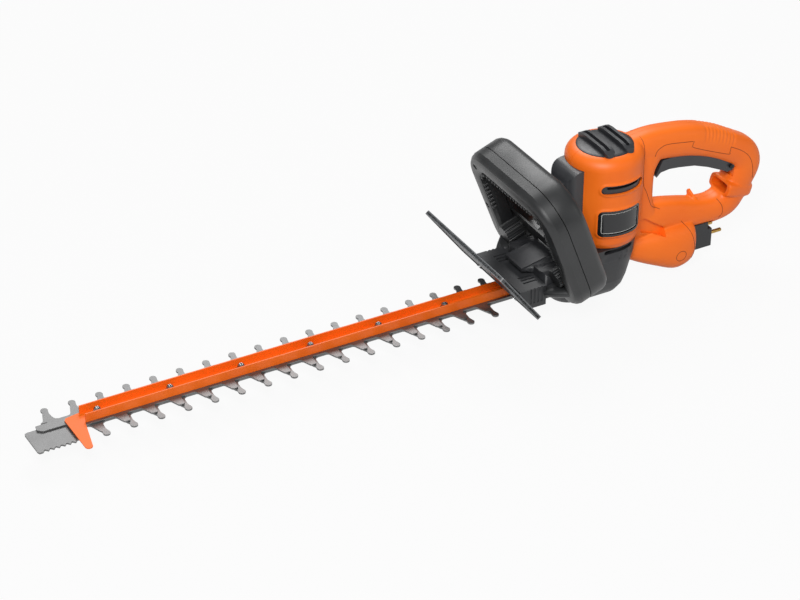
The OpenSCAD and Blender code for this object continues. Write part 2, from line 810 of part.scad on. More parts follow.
// A helical spring along Z from z = 0: round wire, given free length and number of turns
module coil(r, wire, length, turns) {
    sides = 5;
    per_turn = 10;
    n = turns * per_turn;
    points = [for (i = [0:n], k = [0:sides - 1])
        let (a = i * 360 / per_turn, b = k * 360 / sides)
        [(r + wire * cos(b)) * cos(a), (r + wire * cos(b)) * sin(a), wire + (length - 2 * wire) * i / n + wire * sin(b)]];
    polyhedron(points, concat(
        [[for (k = [0:sides - 1]) k]],
        [for (i = [0:n - 1], k = [0:sides - 1]) let (k2 = (k + 1) % sides)
            [i * sides + k, (i + 1) * sides + k, (i + 1) * sides + k2, i * sides + k2]],
        [[for (k = [sides - 1:-1:0]) n * sides + k]]));
}

module brush_springs() {
    color("#d0d2d4")
    for (side = [0, 180]) rotate([0, 0, side]) translate([brush_out + seat, 0, comm_z + 7]) rotate([0, 90, 0])
        coil(2, 0.35, barrel_r - 10 - brush_out - 2 * seat, 4);
}

// ---- Motor housing and rear handle ---------------------------------------------------------------

barrel_line = [[0, case_top], [42, case_top], [barrel_r - 2, case_top + 7], [barrel_r - 0.5, 100], [barrel_r, 140],
               [barrel_r - 0.5, 170], [barrel_r - 3, 186], [barrel_r - 9, barrel_top], [0, barrel_top]];
barrel_room = [[0, case_top - past], [42 - shell_wall, case_top - past], [42 - shell_wall, case_top],
               [barrel_r - 2 - shell_wall, case_top + 7], [barrel_r - 0.5 - shell_wall, 100],
               [barrel_r - shell_wall, 140], [barrel_r - 0.5 - shell_wall, 170], [barrel_r - 3 - shell_wall, 185],
               [barrel_r - 9 - shell_wall, barrel_top - shell_wall], [0, barrel_top - shell_wall]];

// Centre line of the D-handle: X, Z and half thickness
handle_line = [[30, 178, 20], [60, 179, 21], [90, 176.5, 21], [120, 171, 21], [150, 160, 20], [178, 145, 20],
               [197, 130, 20], [206, 112, 21], [205, 96, 21], [196, 80, 20], [180, 70, 18], [160, 66, 17],
               [135, 68, 18], [110, 72, 20], [80, 76, 22], [50, 78, 24], [30, 78, 24]];
// Centre line of the pod above the inlet: X, half width, half height, Z
pod_line = [[26, 16, 13, 44], [46, 24, 21, 41], [73, 30, 29, 37], [95, 32, 33, 36], [113, 30, 31, 37],
            [121, 27, 27, 38], [127, 20, 20, 40]];

// Half of a superellipse section, from the lower to the upper end of its upright
half_section = [for (i = [-4:4]) let (a = i * 22.5)
    [pow(cos(a), 0.62), sign(i) * pow(abs(sin(a)), 0.8)]];

function unit(v) = v / norm(v);

// Normal of the handle's centre line at station i, pointing away from the loop's inside
function handle_normal(i) = let (n = len(handle_line) - 1, a = handle_line[max(0, i - 1)], b = handle_line[min(n, i + 1)],
    t = unit([b[0] - a[0], b[1] - a[1]])) [-t[1], t[0]];

// Skin over rings of equal length, closed at both ends
module skin(rings) {
    m = len(rings[0]);
    n = len(rings) - 1;
    polyhedron([for (ring = rings, p = ring) p], concat(
        [[for (k = [0:m - 1]) k]],
        [for (i = [0:n - 1], k = [0:m - 1]) let (k2 = (k + 1) % m) each
            [[i * m + k, (i + 1) * m + k, (i + 1) * m + k2], [i * m + k, (i + 1) * m + k2, i * m + k2]]],
        [[for (k = [m - 1:-1:0]) n * m + k]]));
}

// Right half of the handle loop; cut makes it thinner all round
module handle_half(cut) {
    skin([for (i = [0:len(handle_line) - 1]) let (c = handle_line[i], n = handle_normal(i))
        [for (q = half_section) let (d = (c[2] - cut) * q[1])
            [c[0] + n[0] * d, (grip_half - cut) * q[0], c[1] + n[1] * d]]]);
}

module pod_half(cut) {
    skin([for (c = pod_line) [for (q = half_section) [c[0], (c[1] - cut) * q[0], c[3] + (c[2] - cut) * q[1]]]]);
}

cup_mouth_x = 170.5;
cup_len = 44;
cup_h = 18;
cord_half = 20;
hook_x = 133;
inlet_x0 = 118;
inlet_x1 = 152;
inlet_z0 = 21;
root_x = 68;

// Everything of the housing on the +Y side, as seen from outside
module housing_outside() {
    rotate_extrude(angle = 180) polygon(barrel_line);
    handle_half(0);
    pod_half(0);
    span([20, 0, 80], [root_x - 4, grip_half - 1.5, 175]);
    // Cord cup and hook
    translate([cup_mouth_x, 0, 93.5]) rotate([0, 14, 0]) translate([0, 0, -cup_h / 2]) intersection() {
        linear_extrude(cup_h) translate([cup_len / 2, 0]) round_rect(cup_len, 2 * cord_half, 8);
        span([-past, 0, -past], [cup_len + past, cord_half + past, cup_h + past]);
    }
    along_y(0, 15) polygon([[hook_x - 2, 80], [hook_x - 2, 92], [hook_x + 0.5, 94], [hook_x + 2, 92], [hook_x + 4, 80]]);
}

switch_low = [84, 166];
switch_high = [122, 182];
trigger_pivot = [176, 124];
hinge_r = 2.5;
switch_half = trigger_half + play - seat;

// Space inside the housing, the same for both halves
module housing_inside() {
    difference() {
        rotate_extrude() polygon(barrel_room);
        // Rings that hold the field core, and the plate of the upper bearing
        for (z = [core_z + 3, core_top - 6]) tube(barrel_r, core_r + fit, 3, z);
        difference() {
            translate([0, 0, upper_bearing_z - 2]) cylinder(r = barrel_r, h = bearing_h + 4);
            translate([0, 0, upper_bearing_z]) cylinder(r = bearing_r + fit, h = bearing_h);
            translate([0, 0, upper_bearing_z - 2 - past]) cylinder(r = bearing_r - 2, h = bearing_h + 4 + 2 * past);
            for (i = [0:5]) rotate([0, 0, i * 60 + 30]) translate([26, 0, upper_bearing_z - 2 - past])
                cylinder(r = 8, h = bearing_h + 4 + 2 * past);
        }
        // Posts of the brush holders
        for (side = [-1, 1]) translate([side * (barrel_r - 5), 0, comm_z + 7]) cube([14, 12, 14], center = true);
    }
    // Brush holders sit in the posts
    for (side = [0, 180]) rotate([0, 0, side])
        span([comm_r + 2, -brush_w / 2 - 1.4 - fit, comm_z + 2.6 - fit], [barrel_r - 8 + fit, brush_w / 2 + 1.4 + fit, comm_z + 11.4 + fit]);
    // Pocket of the trigger and of its switch, open to the hand
    along_y(-trigger_half - play, trigger_half + play)
        polygon([[72, 140], [72, 165], [80, 186], [124, 184], [150, 168], [181, 140], [185, 124], [181, 108], [170, 110]]);
    // Cord cup, open to the front
    translate([cup_mouth_x, 0, 93.5]) rotate([0, 14, 0])
        span([-10, -cord_half + 3, -cup_h / 2 + 3], [cup_len - 4, cord_half - 3, cup_h / 2 - 3]);
    // Seat of the inlet block
    span([inlet_x0 - seat, -17 - seat, inlet_z0 - seat], [inlet_x1 + past, 17 + seat, 56 + seat]);
    // Recess between the lower bar and the pod
    for (side = [-1, 1]) along_y(side * 20 - 6, side * 20 + 6)
        polygon([[50.6, 89], [76, 72], [74, 61], [36.5, 64]]);
    // Openings of the vent inserts and of the badge
    for (side = [-1, 1]) vent_slot(side, 0);
    for (p = housing_posts) translate([p[0], 0, p[1]]) rotate([90, 0, 0])
        cylinder(r = case_screw_r + fit, h = 60, center = true);
    translate([trigger_pivot[0], 0, trigger_pivot[1]]) rotate([90, 0, 0])
        cylinder(r = hinge_r + fit, h = 2 * trigger_half + 6.6, center = true);
}

housing_posts = [[56, 98], [56, 150], [155, 68], [196, 112], [95, 20], [60, 190]];

module housing_half() {
    difference() {
        housing_outside();
        housing_inside();
        cylinder(r1 = cup_low_r + 4 + seat, r2 = cup_top_r + seat, h = case_top);
        translate([0, 0, barrel_top]) cylinder(r = saddle_half + 2, h = 2 * rib_h);
    }
}

module housing_left() {
    color("#ef6a1a") mirror([0, 1, 0]) housing_half();
}

module housing_right() {
    color("#ef6a1a") housing_half();
}

module housing_screws() {
    color("#a4a6a8")
    for (p = housing_posts) translate([p[0], 0, p[1]]) rotate([90, 0, 0])
        cylinder(r = case_screw_r, h = 22, center = true);
}

saddle_w = 14;
saddle_x = [-18, 11];
saddle_half = 37;

// Cooling cap: a disc with two saddles across it, each with an air slot
module top_cap() {
    color("#232527")
    difference() {
        union() {
            translate([0, 0, barrel_top]) cylinder(r = cap_r, h = 3);
            for (x = saddle_x) intersection() {
                along_x(x - saddle_w / 2, x + saddle_w / 2) polygon([[-saddle_half, barrel_top - 8],
                    [saddle_half, barrel_top - 8], [saddle_half, barrel_top - 2], [saddle_half - 4, barrel_top + 4],
                    [saddle_half - 10, barrel_top + rib_h - 0.8], [saddle_half - 16, barrel_top + rib_h],
                    [16 - saddle_half, barrel_top + rib_h], [10 - saddle_half, barrel_top + rib_h - 0.8],
                    [4 - saddle_half, barrel_top + 4], [-saddle_half, barrel_top - 2]]);
                translate([0, 0, barrel_top - 8]) cylinder(r = saddle_half + 1.5, h = rib_h + 10);
            }
        }
        translate([0, 0, seat]) rotate_extrude() polygon(barrel_line);
        for (x = saddle_x) translate([x - 2, 12 - saddle_half, barrel_top + 3]) cube([4, 2 * saddle_half - 24, rib_h]);
    }
}

cover_high = 184;
cover_r = 9;

module front_cover() {
    color("#232527")
    difference() {
        cover_shape(0);
        cover_shape(2.6);
        rotate_extrude() polygon([for (p = barrel_line)
            [p[0] == 0 ? 0 : p[0] + seat, p[1] + (p[1] == barrel_top ? past : 0)]]);
    }
}

// Block of the front cover with rounded front corners and top, thinner all round by cut
module cover_shape(cut) {
    low = case_top + 4 + cut;
    high = cover_high - cut;
    front = -cover_reach + cut;
    half = cover_half - cut;
    intersection() {
        translate([0, 0, low]) linear_extrude(high - low) union() {
            translate([front + cover_r, -half]) square([cover_reach - 20 - cover_r + cut, 2 * half]);
            translate([front, -half + cover_r]) square([cover_r + past, 2 * (half - cover_r)]);
            for (side = [-1, 1]) translate([front + cover_r, side * (half - cover_r)]) circle(r = cover_r);
        }
        along_y(-half, half) polygon([[front, low], [-20 + cut, low], [-20 + cut, high], [front + 16, high],
            [front + 9, high - 2], [front + 3.5, high - 7], [front, high - 15]]);
    }
}

vent_x = [-28, 29];
vent_z = 159.5;
vent_h = 12;

// Block through the barrel wall with round ends, on the side of Y that is given
module vent_slot(side, gap) {
    translate([(vent_x[0] + vent_x[1]) / 2, side * barrel_r, vent_z]) rotate([90, 0, 0])
        translate([0, 0, -14]) linear_extrude(28) round_slot(vent_x[1] - vent_x[0] - 2 * gap, vent_h - 2 * gap);
}

module vent_inserts() {
    color("#1f2123")
    for (side = [-1, 1]) intersection() {
        difference() {
            vent_slot(side, seat);
            for (i = [-4:4]) translate([i * 5.6, side * barrel_r, vent_z]) cube([2.4, 40, vent_h - 4], center = true);
        }
        tube(barrel_r - 1, barrel_r - 4, 20, 150);
    }
}

module name_badge() {
    color("#d8d8d6")
    intersection() {
        span([-32, -barrel_r - 5, 97], [25, 0, 131]);
        tube(barrel_r + 0.6, barrel_r + 0.05, 34, 97);
    }
}

// ---- Bail handle ----------------------------------------------------------------------------------

lever_half = 46;
lever_n = 10;
lever_w0 = -15;
lever_w1 = -4;
bail_wall = 2.4;
bail_r = 9;
web_half = 66;

// Rounded half section from the parting plane to a depth, h to each side, as [outward, rearward]
function half_round(h, depth, r) = let (q = depth > 0 ? r : -r) [
    [h, 0], [h, depth - q], [h - r * 0.18, depth - q * 0.5], [h - r * 0.55, depth - q * 0.1], [h - r, depth],
    [r - h, depth], [r * 0.55 - h, depth - q * 0.1], [r * 0.18 - h, depth - q * 0.5], [-h, depth - q], [-h, 0]];

// Wall section of one shell of the bail: open at the parting plane
function shell_section(depth) = let (sign_w = depth > 0 ? 1 : -1,
    out = half_round(bail_n / 2, depth, bail_r),
    in = half_round(bail_n / 2 - bail_wall, depth - sign_w * bail_wall, bail_r - bail_wall),
    ring = concat(out, [for (i = [len(in) - 1:-1:0]) in[i]]))
    depth > 0 ? ring : [for (i = [len(ring) - 1:-1:0]) ring[i]];

// Runs a section, given as [outward, rearward], round the bail from one foot to the other
module bail_run(section) {
    translate([bail_mid - bail_corner, bail_top, 0]) rotate([0, 0, 90])
        along_y(0, 2 * (bail_mid - bail_corner)) polygon(section);
    for (side = [0, 1]) mirror([side, 0, 0]) {
        translate([bail_foot_y, bail_foot_t, 0]) rotate([0, 0, -90])
            along_y(0, bail_mid - bail_elbow - bail_foot_y) polygon(section);
        translate([bail_mid - bail_elbow, bail_foot_t + bail_elbow, 0]) rotate([0, 0, -90])
            rotate_extrude(angle = 90) translate([bail_elbow, 0]) polygon(section);
        translate([bail_mid, bail_foot_t + bail_elbow, 0])
            along_y(0, bail_top - bail_corner - bail_foot_t - bail_elbow) polygon(section);
        translate([bail_mid - bail_corner, bail_top - bail_corner, 0])
            rotate_extrude(angle = 90) translate([bail_corner, 0]) polygon(section);
    }
}

corner_in = bail_corner * (1 - cos(45));
bail_bolts = [[bail_mid, 10], [-bail_mid, 10], [bail_mid - corner_in, bail_top - corner_in],
              [corner_in - bail_mid, bail_top - corner_in]];
lever_t = bail_top - bail_n / 2;

module bail_rear_shell() {
    color("#26282a")
    bail_frame() difference() {
        union() {
            bail_run(shell_section(bail_rear));
            for (p = bail_bolts) translate([p[0], p[1], 0]) cylinder(r = 4.6, h = bail_rear - bail_wall / 2);
            difference() {
                span([-web_half - 2, -24, 0], [web_half + 2, -4, 3]);
                span([-ramp_half - seat, -25, -past], [ramp_half + seat, -19, 4]);
            }
        }
        for (p = bail_bolts) translate([p[0], p[1], -past]) cylinder(r = case_screw_r + fit, h = 14 + past);
    }
}

module bail_front_shell() {
    color("#2b2d30")
    bail_frame() difference() {
        union() {
            bail_run(shell_section(-bail_front));
            for (p = bail_bolts) translate([p[0], p[1], -bail_front + bail_wall / 2])
                cylinder(r = 4.6, h = bail_front - bail_wall / 2);
        }
        for (p = bail_bolts) translate([p[0], p[1], -bail_front - past])
            cylinder(r = case_screw_r + fit, h = bail_front + 2 * past);
        for (p = bail_bolts) translate([p[0], p[1], -bail_front - past]) cylinder(r = 3.8, h = 4 + past);
        // Slot of the switch lever in the inner wall
        span([-lever_half - seat, lever_t - 5, lever_w0 - seat], [lever_half + seat, lever_t + 7, lever_w1 + seat]);
    }
}

module bail_screws() {
    color("#a4a6a8")
    bail_frame() for (p = bail_bolts) translate([p[0], p[1], 0]) {
        translate([0, 0, -bail_front + 4]) cylinder(r = case_screw_r, h = bail_front - 4 + 12);
        translate([0, 0, -bail_front + 1.6]) cylinder(r = 3.6, h = 2.4);
    }
}

module front_switch_lever() {
    color("#2b2d30")
    bail_frame() difference() {
        union() {
            span([-lever_half, lever_t - front_travel - 0.6, lever_w0], [lever_half, lever_t + lever_n, lever_w1]);
            // Lip that keeps the lever in the slot
            span([-lever_half + 1, lever_t + bail_wall + seat, lever_w1 - past], [lever_half - 1, lever_t + bail_wall + 2.3, lever_w1 + 3]);
        }
        for (i = [-8:8]) translate([i * 5.2 - 1.2, lever_t - front_travel - 1.6, lever_w0 - past])
            cube([2.4, 2, lever_w1 - lever_w0 + 2 * past]);
    }
}

lever_spring_s = 36;

module front_lever_springs() {
    color("#d0d2d4")
    bail_frame() for (side = [-1, 1])
        translate([side * lever_spring_s, lever_t + lever_n + seat, -8]) rotate([-90, 0, 0])
            coil(2.8, 0.5, bail_n - lever_n - bail_wall - 2 * seat - 0.4, 4);
}

module front_switch() {
    color("#1b1c1e")
    bail_frame() {
        span([-14, lever_t + lever_n + front_travel + seat, -10], [14, lever_t + bail_n - bail_wall - 0.8, -1]);
    }
}

// ---- Trigger, switch and inlet -------------------------------------------------------------------

module trigger() {
    color("#232527")
    difference() {
        union() {
            along_y(-trigger_half, trigger_half) polygon([[75.5, 146], [100, 142.6], [122.6, 138.7], [142, 131.5],
                [161.8, 122], [172, 116.5], [180, 118], [181, 127], [174, 130], [150, 144], [124, 155], [100, 159.5],
                [78, 158.5]]);
            translate([trigger_pivot[0], 0, trigger_pivot[1]]) rotate([90, 0, 0])
                cylinder(r = 6, h = 2 * trigger_half, center = true);
        }
        along_y(-trigger_half + 2.4, trigger_half - 2.4) polygon([[80, 166], [80, 150], [122, 143], [158, 128],
            [166, 132], [150, 150], [126, 166]]);
        translate([trigger_pivot[0], 0, trigger_pivot[1]]) rotate([90, 0, 0])
            cylinder(r = hinge_r + fit, h = 4 * trigger_half, center = true);
    }
}

module trigger_pin() {
    color("#c6c8ca")
    translate([trigger_pivot[0], 0, trigger_pivot[1]]) rotate([90, 0, 0])
        cylinder(r = hinge_r, h = 2 * trigger_half + 6, center = true);
}

spring_x = 112;
spring_z = 144.5;

module trigger_spring() {
    color("#d0d2d4")
    translate([spring_x, 0, spring_z]) coil(3.4, 0.5, switch_low[1] - spring_z - seat, 5);
}

module trigger_switch() {
    color("#1b1c1e")
    span([switch_low[0], -switch_half, switch_low[1]], [switch_high[0], switch_half, switch_high[1]]);
    color("#1b1c1e")
    translate([92, 0, switch_low[1] - 10.5]) cylinder(r = 3, h = 10.5 + past);
}

// Each pin has a thicker root that is moulded into the block
pin_root = 12;
pin_root_r = pin_r + 0.8;
pin_tip = 1.2;

module inlet_block() {
    color("#1e2022")
    difference() {
        span([inlet_x0, -17, inlet_z0], [inlet_x1, 17, 56]);
        for (side = [-1, 1]) translate([inlet_x1 - pin_root, side * pin_space / 2, pin_z]) rotate([0, 90, 0])
            cylinder(r = pin_root_r + fit, h = pin_root + past);
        span([inlet_x1 - 6, -17 - past, 46], [inlet_x1 + past, 17 + past, 57]);
    }
}

module inlet_pins() {
    color("#c9a24a")
    for (side = [-1, 1]) translate([inlet_x1, side * pin_space / 2, pin_z]) rotate([0, 90, 0]) {
        translate([0, 0, -pin_root]) cylinder(r = pin_root_r, h = pin_root);
        cylinder(r = pin_r, h = pin_len - pin_tip);
        translate([0, 0, pin_len - pin_tip]) cylinder(r1 = pin_r, r2 = pin_r - pin_tip, h = pin_tip);
    }
}

upper_blade();
lower_blade();
blade_bar();
bar_screws();
guide_sleeves();
bar_washers();
bar_nuts();
hand_guard();
guard_bracket();
guard_screws();
gear_case();
gear_case_cover();
cover_screws();
drive_gear();
upper_eccentric();
lower_eccentric();
gear_axle();
axle_bushes();
armature_shaft();
armature_core();
armature_windings();
commutator();
cooling_fan();
lower_bearing();
upper_bearing();
field_core();
field_coils();
brush_holders();
carbon_brushes();
brush_springs();
housing_left();
housing_right();
housing_screws();
top_cap();
front_cover();
vent_inserts();
name_badge();
bail_rear_shell();
bail_front_shell();
bail_screws();
front_switch_lever();
front_lever_springs();
front_switch();
trigger();
trigger_pin();
trigger_spring();
trigger_switch();
inlet_block();
inlet_pins();
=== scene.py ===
import bpy, bmesh, json, math
from mathutils import Matrix, Vector
from mathutils.bvhtree import BVHTree


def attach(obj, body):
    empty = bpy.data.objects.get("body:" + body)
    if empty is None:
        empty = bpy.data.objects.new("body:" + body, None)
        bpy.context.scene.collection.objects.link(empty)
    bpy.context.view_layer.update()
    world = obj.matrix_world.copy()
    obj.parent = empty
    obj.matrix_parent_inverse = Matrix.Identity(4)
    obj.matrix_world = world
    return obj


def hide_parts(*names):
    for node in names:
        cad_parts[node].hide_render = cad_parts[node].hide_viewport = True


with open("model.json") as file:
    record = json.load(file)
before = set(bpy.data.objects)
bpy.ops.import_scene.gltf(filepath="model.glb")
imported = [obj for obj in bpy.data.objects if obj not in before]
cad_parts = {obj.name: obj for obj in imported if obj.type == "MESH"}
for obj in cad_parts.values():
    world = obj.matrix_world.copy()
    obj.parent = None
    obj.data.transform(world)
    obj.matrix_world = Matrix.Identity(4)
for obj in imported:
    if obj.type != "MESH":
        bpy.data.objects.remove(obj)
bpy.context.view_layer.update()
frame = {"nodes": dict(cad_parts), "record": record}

# ---- Armature ------------------------------------------------------------------------------------
# The turning half of the motor. Its ground shaft and bearings shine, varnish dulls the stacked steel
# sheets and leaves their edges as fine lines, enamel gives the copper wire a brown gloss, the turned
# commutator is bright copper and the moulded nylon fan a soft black.
NOISE_LOW, NOISE_HIGH = 0.3, 0.7  # nearly all of a noise texture lies between these


def linear(colour):
    """An sRGB hex colour as the linear RGBA that shaders take."""
    parts = [int(colour[i:i + 2], 16) / 255 for i in (1, 3, 5)]
    return tuple(c / 12.92 if c <= 0.04045 else ((c + 0.055) / 1.055) ** 2.4 for c in parts) + (1.0,)


def add(material, kind, inputs=(), **settings):
    """One shader node with its settings, its values and its links."""
    made = material.node_tree.nodes.new("ShaderNode" + kind)
    for name, value in settings.items():
        setattr(made, name, value)
    for socket, value in dict(inputs).items():
        if isinstance(value, bpy.types.NodeSocket):
            material.node_tree.links.new(value, made.inputs[socket])
        else:
            made.inputs[socket].default_value = value
    return made


def joined(material, source, target, socket):
    """A link from a socket to a node's named input."""
    material.node_tree.links.new(source, target.inputs[socket])


def finish_of(name, **sockets):
    """A material with nothing but its Principled shader, and that shader."""
    material = bpy.data.materials.new(name)
    material.use_nodes = True
    material.node_tree.nodes.clear()
    shader = add(material, "BsdfPrincipled", {k.replace("_", " "): v for k, v in sockets.items()})
    add(material, "OutputMaterial", {"Surface": shader.outputs["BSDF"]})
    return material, shader


def surface(name, low, high, patch_mm, rough, rough_more, grain_mm, grain_height_mm, metallic=0.0,
            stretch=(1, 1, 1), ior=None):
    """A finish whose colour drifts between two tones in patches, with a fine grain of a real size."""
    material, shader = finish_of(name, Metallic=metallic, **({"IOR": ior} if ior else {}))
    place = add(material, "TexCoord").outputs["Object"]
    along = add(material, "Mapping", {"Vector": place, "Scale": stretch}).outputs["Vector"]
    drift = add(material, "TexNoise", {"Vector": along, "Scale": 1000 / patch_mm, "Detail": 3.0})
    tones = add(material, "ValToRGB", {"Fac": drift.outputs["Fac"]})
    first, last = tones.color_ramp.elements
    first.position, last.position = NOISE_LOW, NOISE_HIGH
    first.color, last.color = linear(low), linear(high)
    joined(material, tones.outputs["Color"], shader, "Base Color")
    dull = add(material, "MapRange", {"Value": drift.outputs["Fac"], "From Min": NOISE_LOW,
                                      "From Max": NOISE_HIGH, "To Min": rough, "To Max": rough + rough_more})
    joined(material, dull.outputs["Result"], shader, "Roughness")
    grain = add(material, "TexNoise", {"Vector": along, "Scale": 1000 / grain_mm, "Detail": 2.0})
    relief = add(material, "Bump", {"Height": grain.outputs["Fac"], "Distance": grain_height_mm / 1000,
                                    "Strength": 1.0})
    joined(material, relief.outputs["Normal"], shader, "Normal")
    return material


def object_of(name, data):
    """A new object in the scene."""
    made = bpy.data.objects.new(name, data)
    bpy.context.scene.collection.objects.link(made)
    return made


def edged(piece, edge_mm=0.0, flat_degrees=28):
    """Smooth faces between sharp edges, which a small bevel breaks."""
    piece.data.shade_smooth()
    piece.data.set_sharp_from_angle(angle=math.radians(flat_degrees))
    if edge_mm:
        edge = piece.modifiers.new("edge", "BEVEL")
        edge.width, edge.segments, edge.limit_method = edge_mm / 1000, 2, "ANGLE"
        edge.angle_limit, edge.harden_normals = math.radians(flat_degrees), True


body_of = {node: body for body, nodes in frame["record"]["behaviour"]["bodies"].items() for node in nodes}


def stand_for(piece, node):
    """The piece rides the node's body and replaces the node, which it hides."""
    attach(piece, body_of[node])
    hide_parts(node)


def dressed(node, material, edge_mm=0.0, flat=True):
    """A merged copy of a CAD node with smooth faces and a broken edge; flat joins coplanar faces."""
    mesh = frame["nodes"][node].data.copy()
    mesh.name = node + "_skin"
    bm = bmesh.new()
    bm.from_mesh(mesh)
    bmesh.ops.remove_doubles(bm, verts=bm.verts, dist=2e-6)
    if flat:
        bmesh.ops.dissolve_limit(bm, angle_limit=math.radians(0.6), verts=bm.verts, edges=bm.edges,
                                 use_dissolve_boundaries=False, delimit=set())
    bm.to_mesh(mesh)
    bm.free()
    mesh.materials.clear()
    mesh.materials.append(material)
    piece = object_of(node + "_skin", mesh)
    edged(piece, edge_mm)
    stand_for(piece, node)
    return piece


ground_steel = surface("ground_bearing_steel", "#8d8e90", "#a3a4a6", 12, 0.22, 0.1, 0.5, 0.002, 1.0)
stacked_sheets = surface("varnished_steel_sheets", "#4b4a49", "#5d5b58", 8, 0.45, 0.15, 0.9, 0.05, 0.8,
                         stretch=(0.1, 0.1, 1))
enamelled_copper = surface("enamelled_copper_wire", "#8a3d1c", "#b35a2c", 5, 0.28, 0.1, 0.9, 0.12, 0.6)
turned_copper = surface("turned_copper", "#b0704c", "#c4855e", 9, 0.3, 0.1, 0.6, 0.01, 1.0)
fan_nylon = surface("moulded_black_nylon", "#1d1e20", "#26272a", 25, 0.42, 0.1, 0.6, 0.01)
for part, made_of in (("armature_shaft", ground_steel), ("armature_core", stacked_sheets),
                      ("armature_windings", enamelled_copper), ("commutator", turned_copper),
                      ("cooling_fan", fan_nylon), ("lower_bearing", ground_steel),
                      ("upper_bearing", ground_steel)):
    dressed(part, made_of)

# ---- Field and brushes ---------------------------------------------------------------------------
# The standing half of the motor: a wider stack of sheets with two wound coils. Two carbon brushes,
# matt and nearly black, slide in drawn brass holders, and bright wire springs press them on.
carbon = surface("pressed_carbon", "#232323", "#303032", 3, 0.6, 0.15, 0.4, 0.02)
drawn_brass = surface("drawn_brass", "#b08d4a", "#c7a562", 15, 0.25, 0.12, 0.5, 0.003, 1.0)
spring_wire = surface("music_wire", "#77787a", "#8e8f91", 6, 0.25, 0.1, 0.4, 0.003, 1.0)
for part, made_of in (("field_core", stacked_sheets), ("field_coils", enamelled_copper),
                      ("brush_holders", drawn_brass), ("carbon_brushes", carbon),
                      ("brush_springs", spring_wire)):
    dressed(part, made_of)

# ---- Gear case and drive -------------------------------------------------------------------------
# The case is black nylon, made slightly rough by its glass fibres, and a cover closes it from below.
# It holds the reduction gear and two opposed eccentrics, which are sintered and so dull and finely
# grained; the ground axle and the zinc-plated screws are bright.
case_nylon = surface("glass_filled_nylon", "#202123", "#2a2b2e", 30, 0.46, 0.1, 0.55, 0.02, ior=1.53)
sintered_steel = surface("sintered_steel", "#5c5b59", "#6e6c69", 4, 0.42, 0.15, 0.5, 0.02, 1.0)
sintered_bronze = surface("sintered_bronze", "#8a6a3c", "#a07d4a", 4, 0.4, 0.1, 0.4, 0.01, 1.0)
zinc_plate = surface("zinc_plated_steel", "#9a9b9c", "#b4b5b6", 6, 0.26, 0.12, 0.5, 0.004, 1.0)
dressed("gear_case_cover", case_nylon, 0.4)
for part, made_of in (("cover_screws", zinc_plate), ("drive_gear", sintered_steel),
                      ("upper_eccentric", sintered_steel), ("lower_eccentric", sintered_steel),
                      ("gear_axle", ground_steel), ("axle_bushes", sintered_bronze)):
    dressed(part, made_of)

# ---- Blades --------------------------------------------------------------------------------------
# Two knives stamped from 2 mm spring steel and bead blasted, which leaves an even, dull grey. Light
# catches only on their broken edges.
blade_steel = surface("blasted_spring_steel", "#747474", "#838383", 18, 0.42, 0.12, 0.45, 0.01, 0.85)
dressed("upper_blade", blade_steel, 0.12)
dressed("lower_blade", blade_steel, 0.12)

# ---- Blade bar -----------------------------------------------------------------------------------
# A channel rolled from sheet steel, whose orange powder coat has a soft gloss. Six shoulder screws
# with washers and nuts, bright with zinc, hold it over the knives and leave them free to slide.
powder_coat = surface("orange_powder_coat", "#e2600c", "#ec6a12", 60, 0.42, 0.08, 0.9, 0.02, ior=1.45)
dressed("blade_bar", powder_coat, 0.25)
for part in ("bar_screws", "bar_washers", "bar_nuts", "guide_sleeves", "guard_screws"):
    dressed(part, zinc_plate, 0.12)

# ---- Motor housing and rear handle ---------------------------------------------------------------
# Two mirrored halves in orange ABS, whose lightly spark-eroded mould leaves a satin with a fine even
# grain. Handle, column, pod and cord cup grow out of the motor barrel with soft fillets, and a fine
# joint runs round the whole in the middle plane.
MM = 0.001


def placed(bm):
    """A new object from a bmesh given in millimetres."""
    bmesh.ops.remove_doubles(bm, verts=bm.verts, dist=0.001)
    bmesh.ops.recalc_face_normals(bm, faces=bm.faces)
    bmesh.ops.scale(bm, vec=(MM, MM, MM), verts=bm.verts)
    mesh = bpy.data.meshes.new("form")
    bm.to_mesh(mesh)
    bm.free()
    return object_of("form", mesh)


def half_section(count, power):
    """Half of a rounded section, from the lower to the upper end of its upright."""
    angles = [math.radians(i * 90 / count) for i in range(-count, count + 1)]
    return [(math.cos(a) ** (1 / power), math.copysign(abs(math.sin(a)) ** (1.7 / power), a))
            for a in angles]


def whole_section(count, power):
    """A rounded section; the higher its power, the squarer it is."""
    half = half_section(count, power)
    return half + [(-x, y) for x, y in reversed(half[1:-1])]


def smooth(rows, u):
    """The point at parameter u on a smooth curve through all rows of a table."""
    last = len(rows) - 1
    i = min(int(u), last - 1)
    t = u - i
    a, b, c, d = rows[max(0, i - 1)], rows[i], rows[i + 1], rows[min(last, i + 2)]
    return [q + t * (r - p) / 2 + t * t * (p - 2.5 * q + 2 * r - e / 2)
            + t ** 3 * (1.5 * (q - r) + (e - p) / 2) for p, q, r, e in zip(a, b, c, d)]


def eased(rows, steps):
    """A table with smoothly placed rows between its own."""
    return [smooth(rows, k / steps) for k in range((len(rows) - 1) * steps + 1)]


def lofted(rings):
    """A closed skin over rings of equal length."""
    bm = bmesh.new()
    loops = [[bm.verts.new(point) for point in ring] for ring in rings]
    for low, high in zip(loops, loops[1:]):
        for k in range(len(low)):
            k2 = (k + 1) % len(low)
            bm.faces.new((low[k], low[k2], high[k2], high[k]))
    bm.faces.new(loops[0])
    bm.faces.new(loops[-1])
    return placed(bm)


def circle(radius, count, x=0.0, y=0.0):
    """Points of a circle round x, y."""
    turns = [math.tau * k / count for k in range(count)]
    return [(x + radius * math.cos(turn), y + radius * math.sin(turn)) for turn in turns]


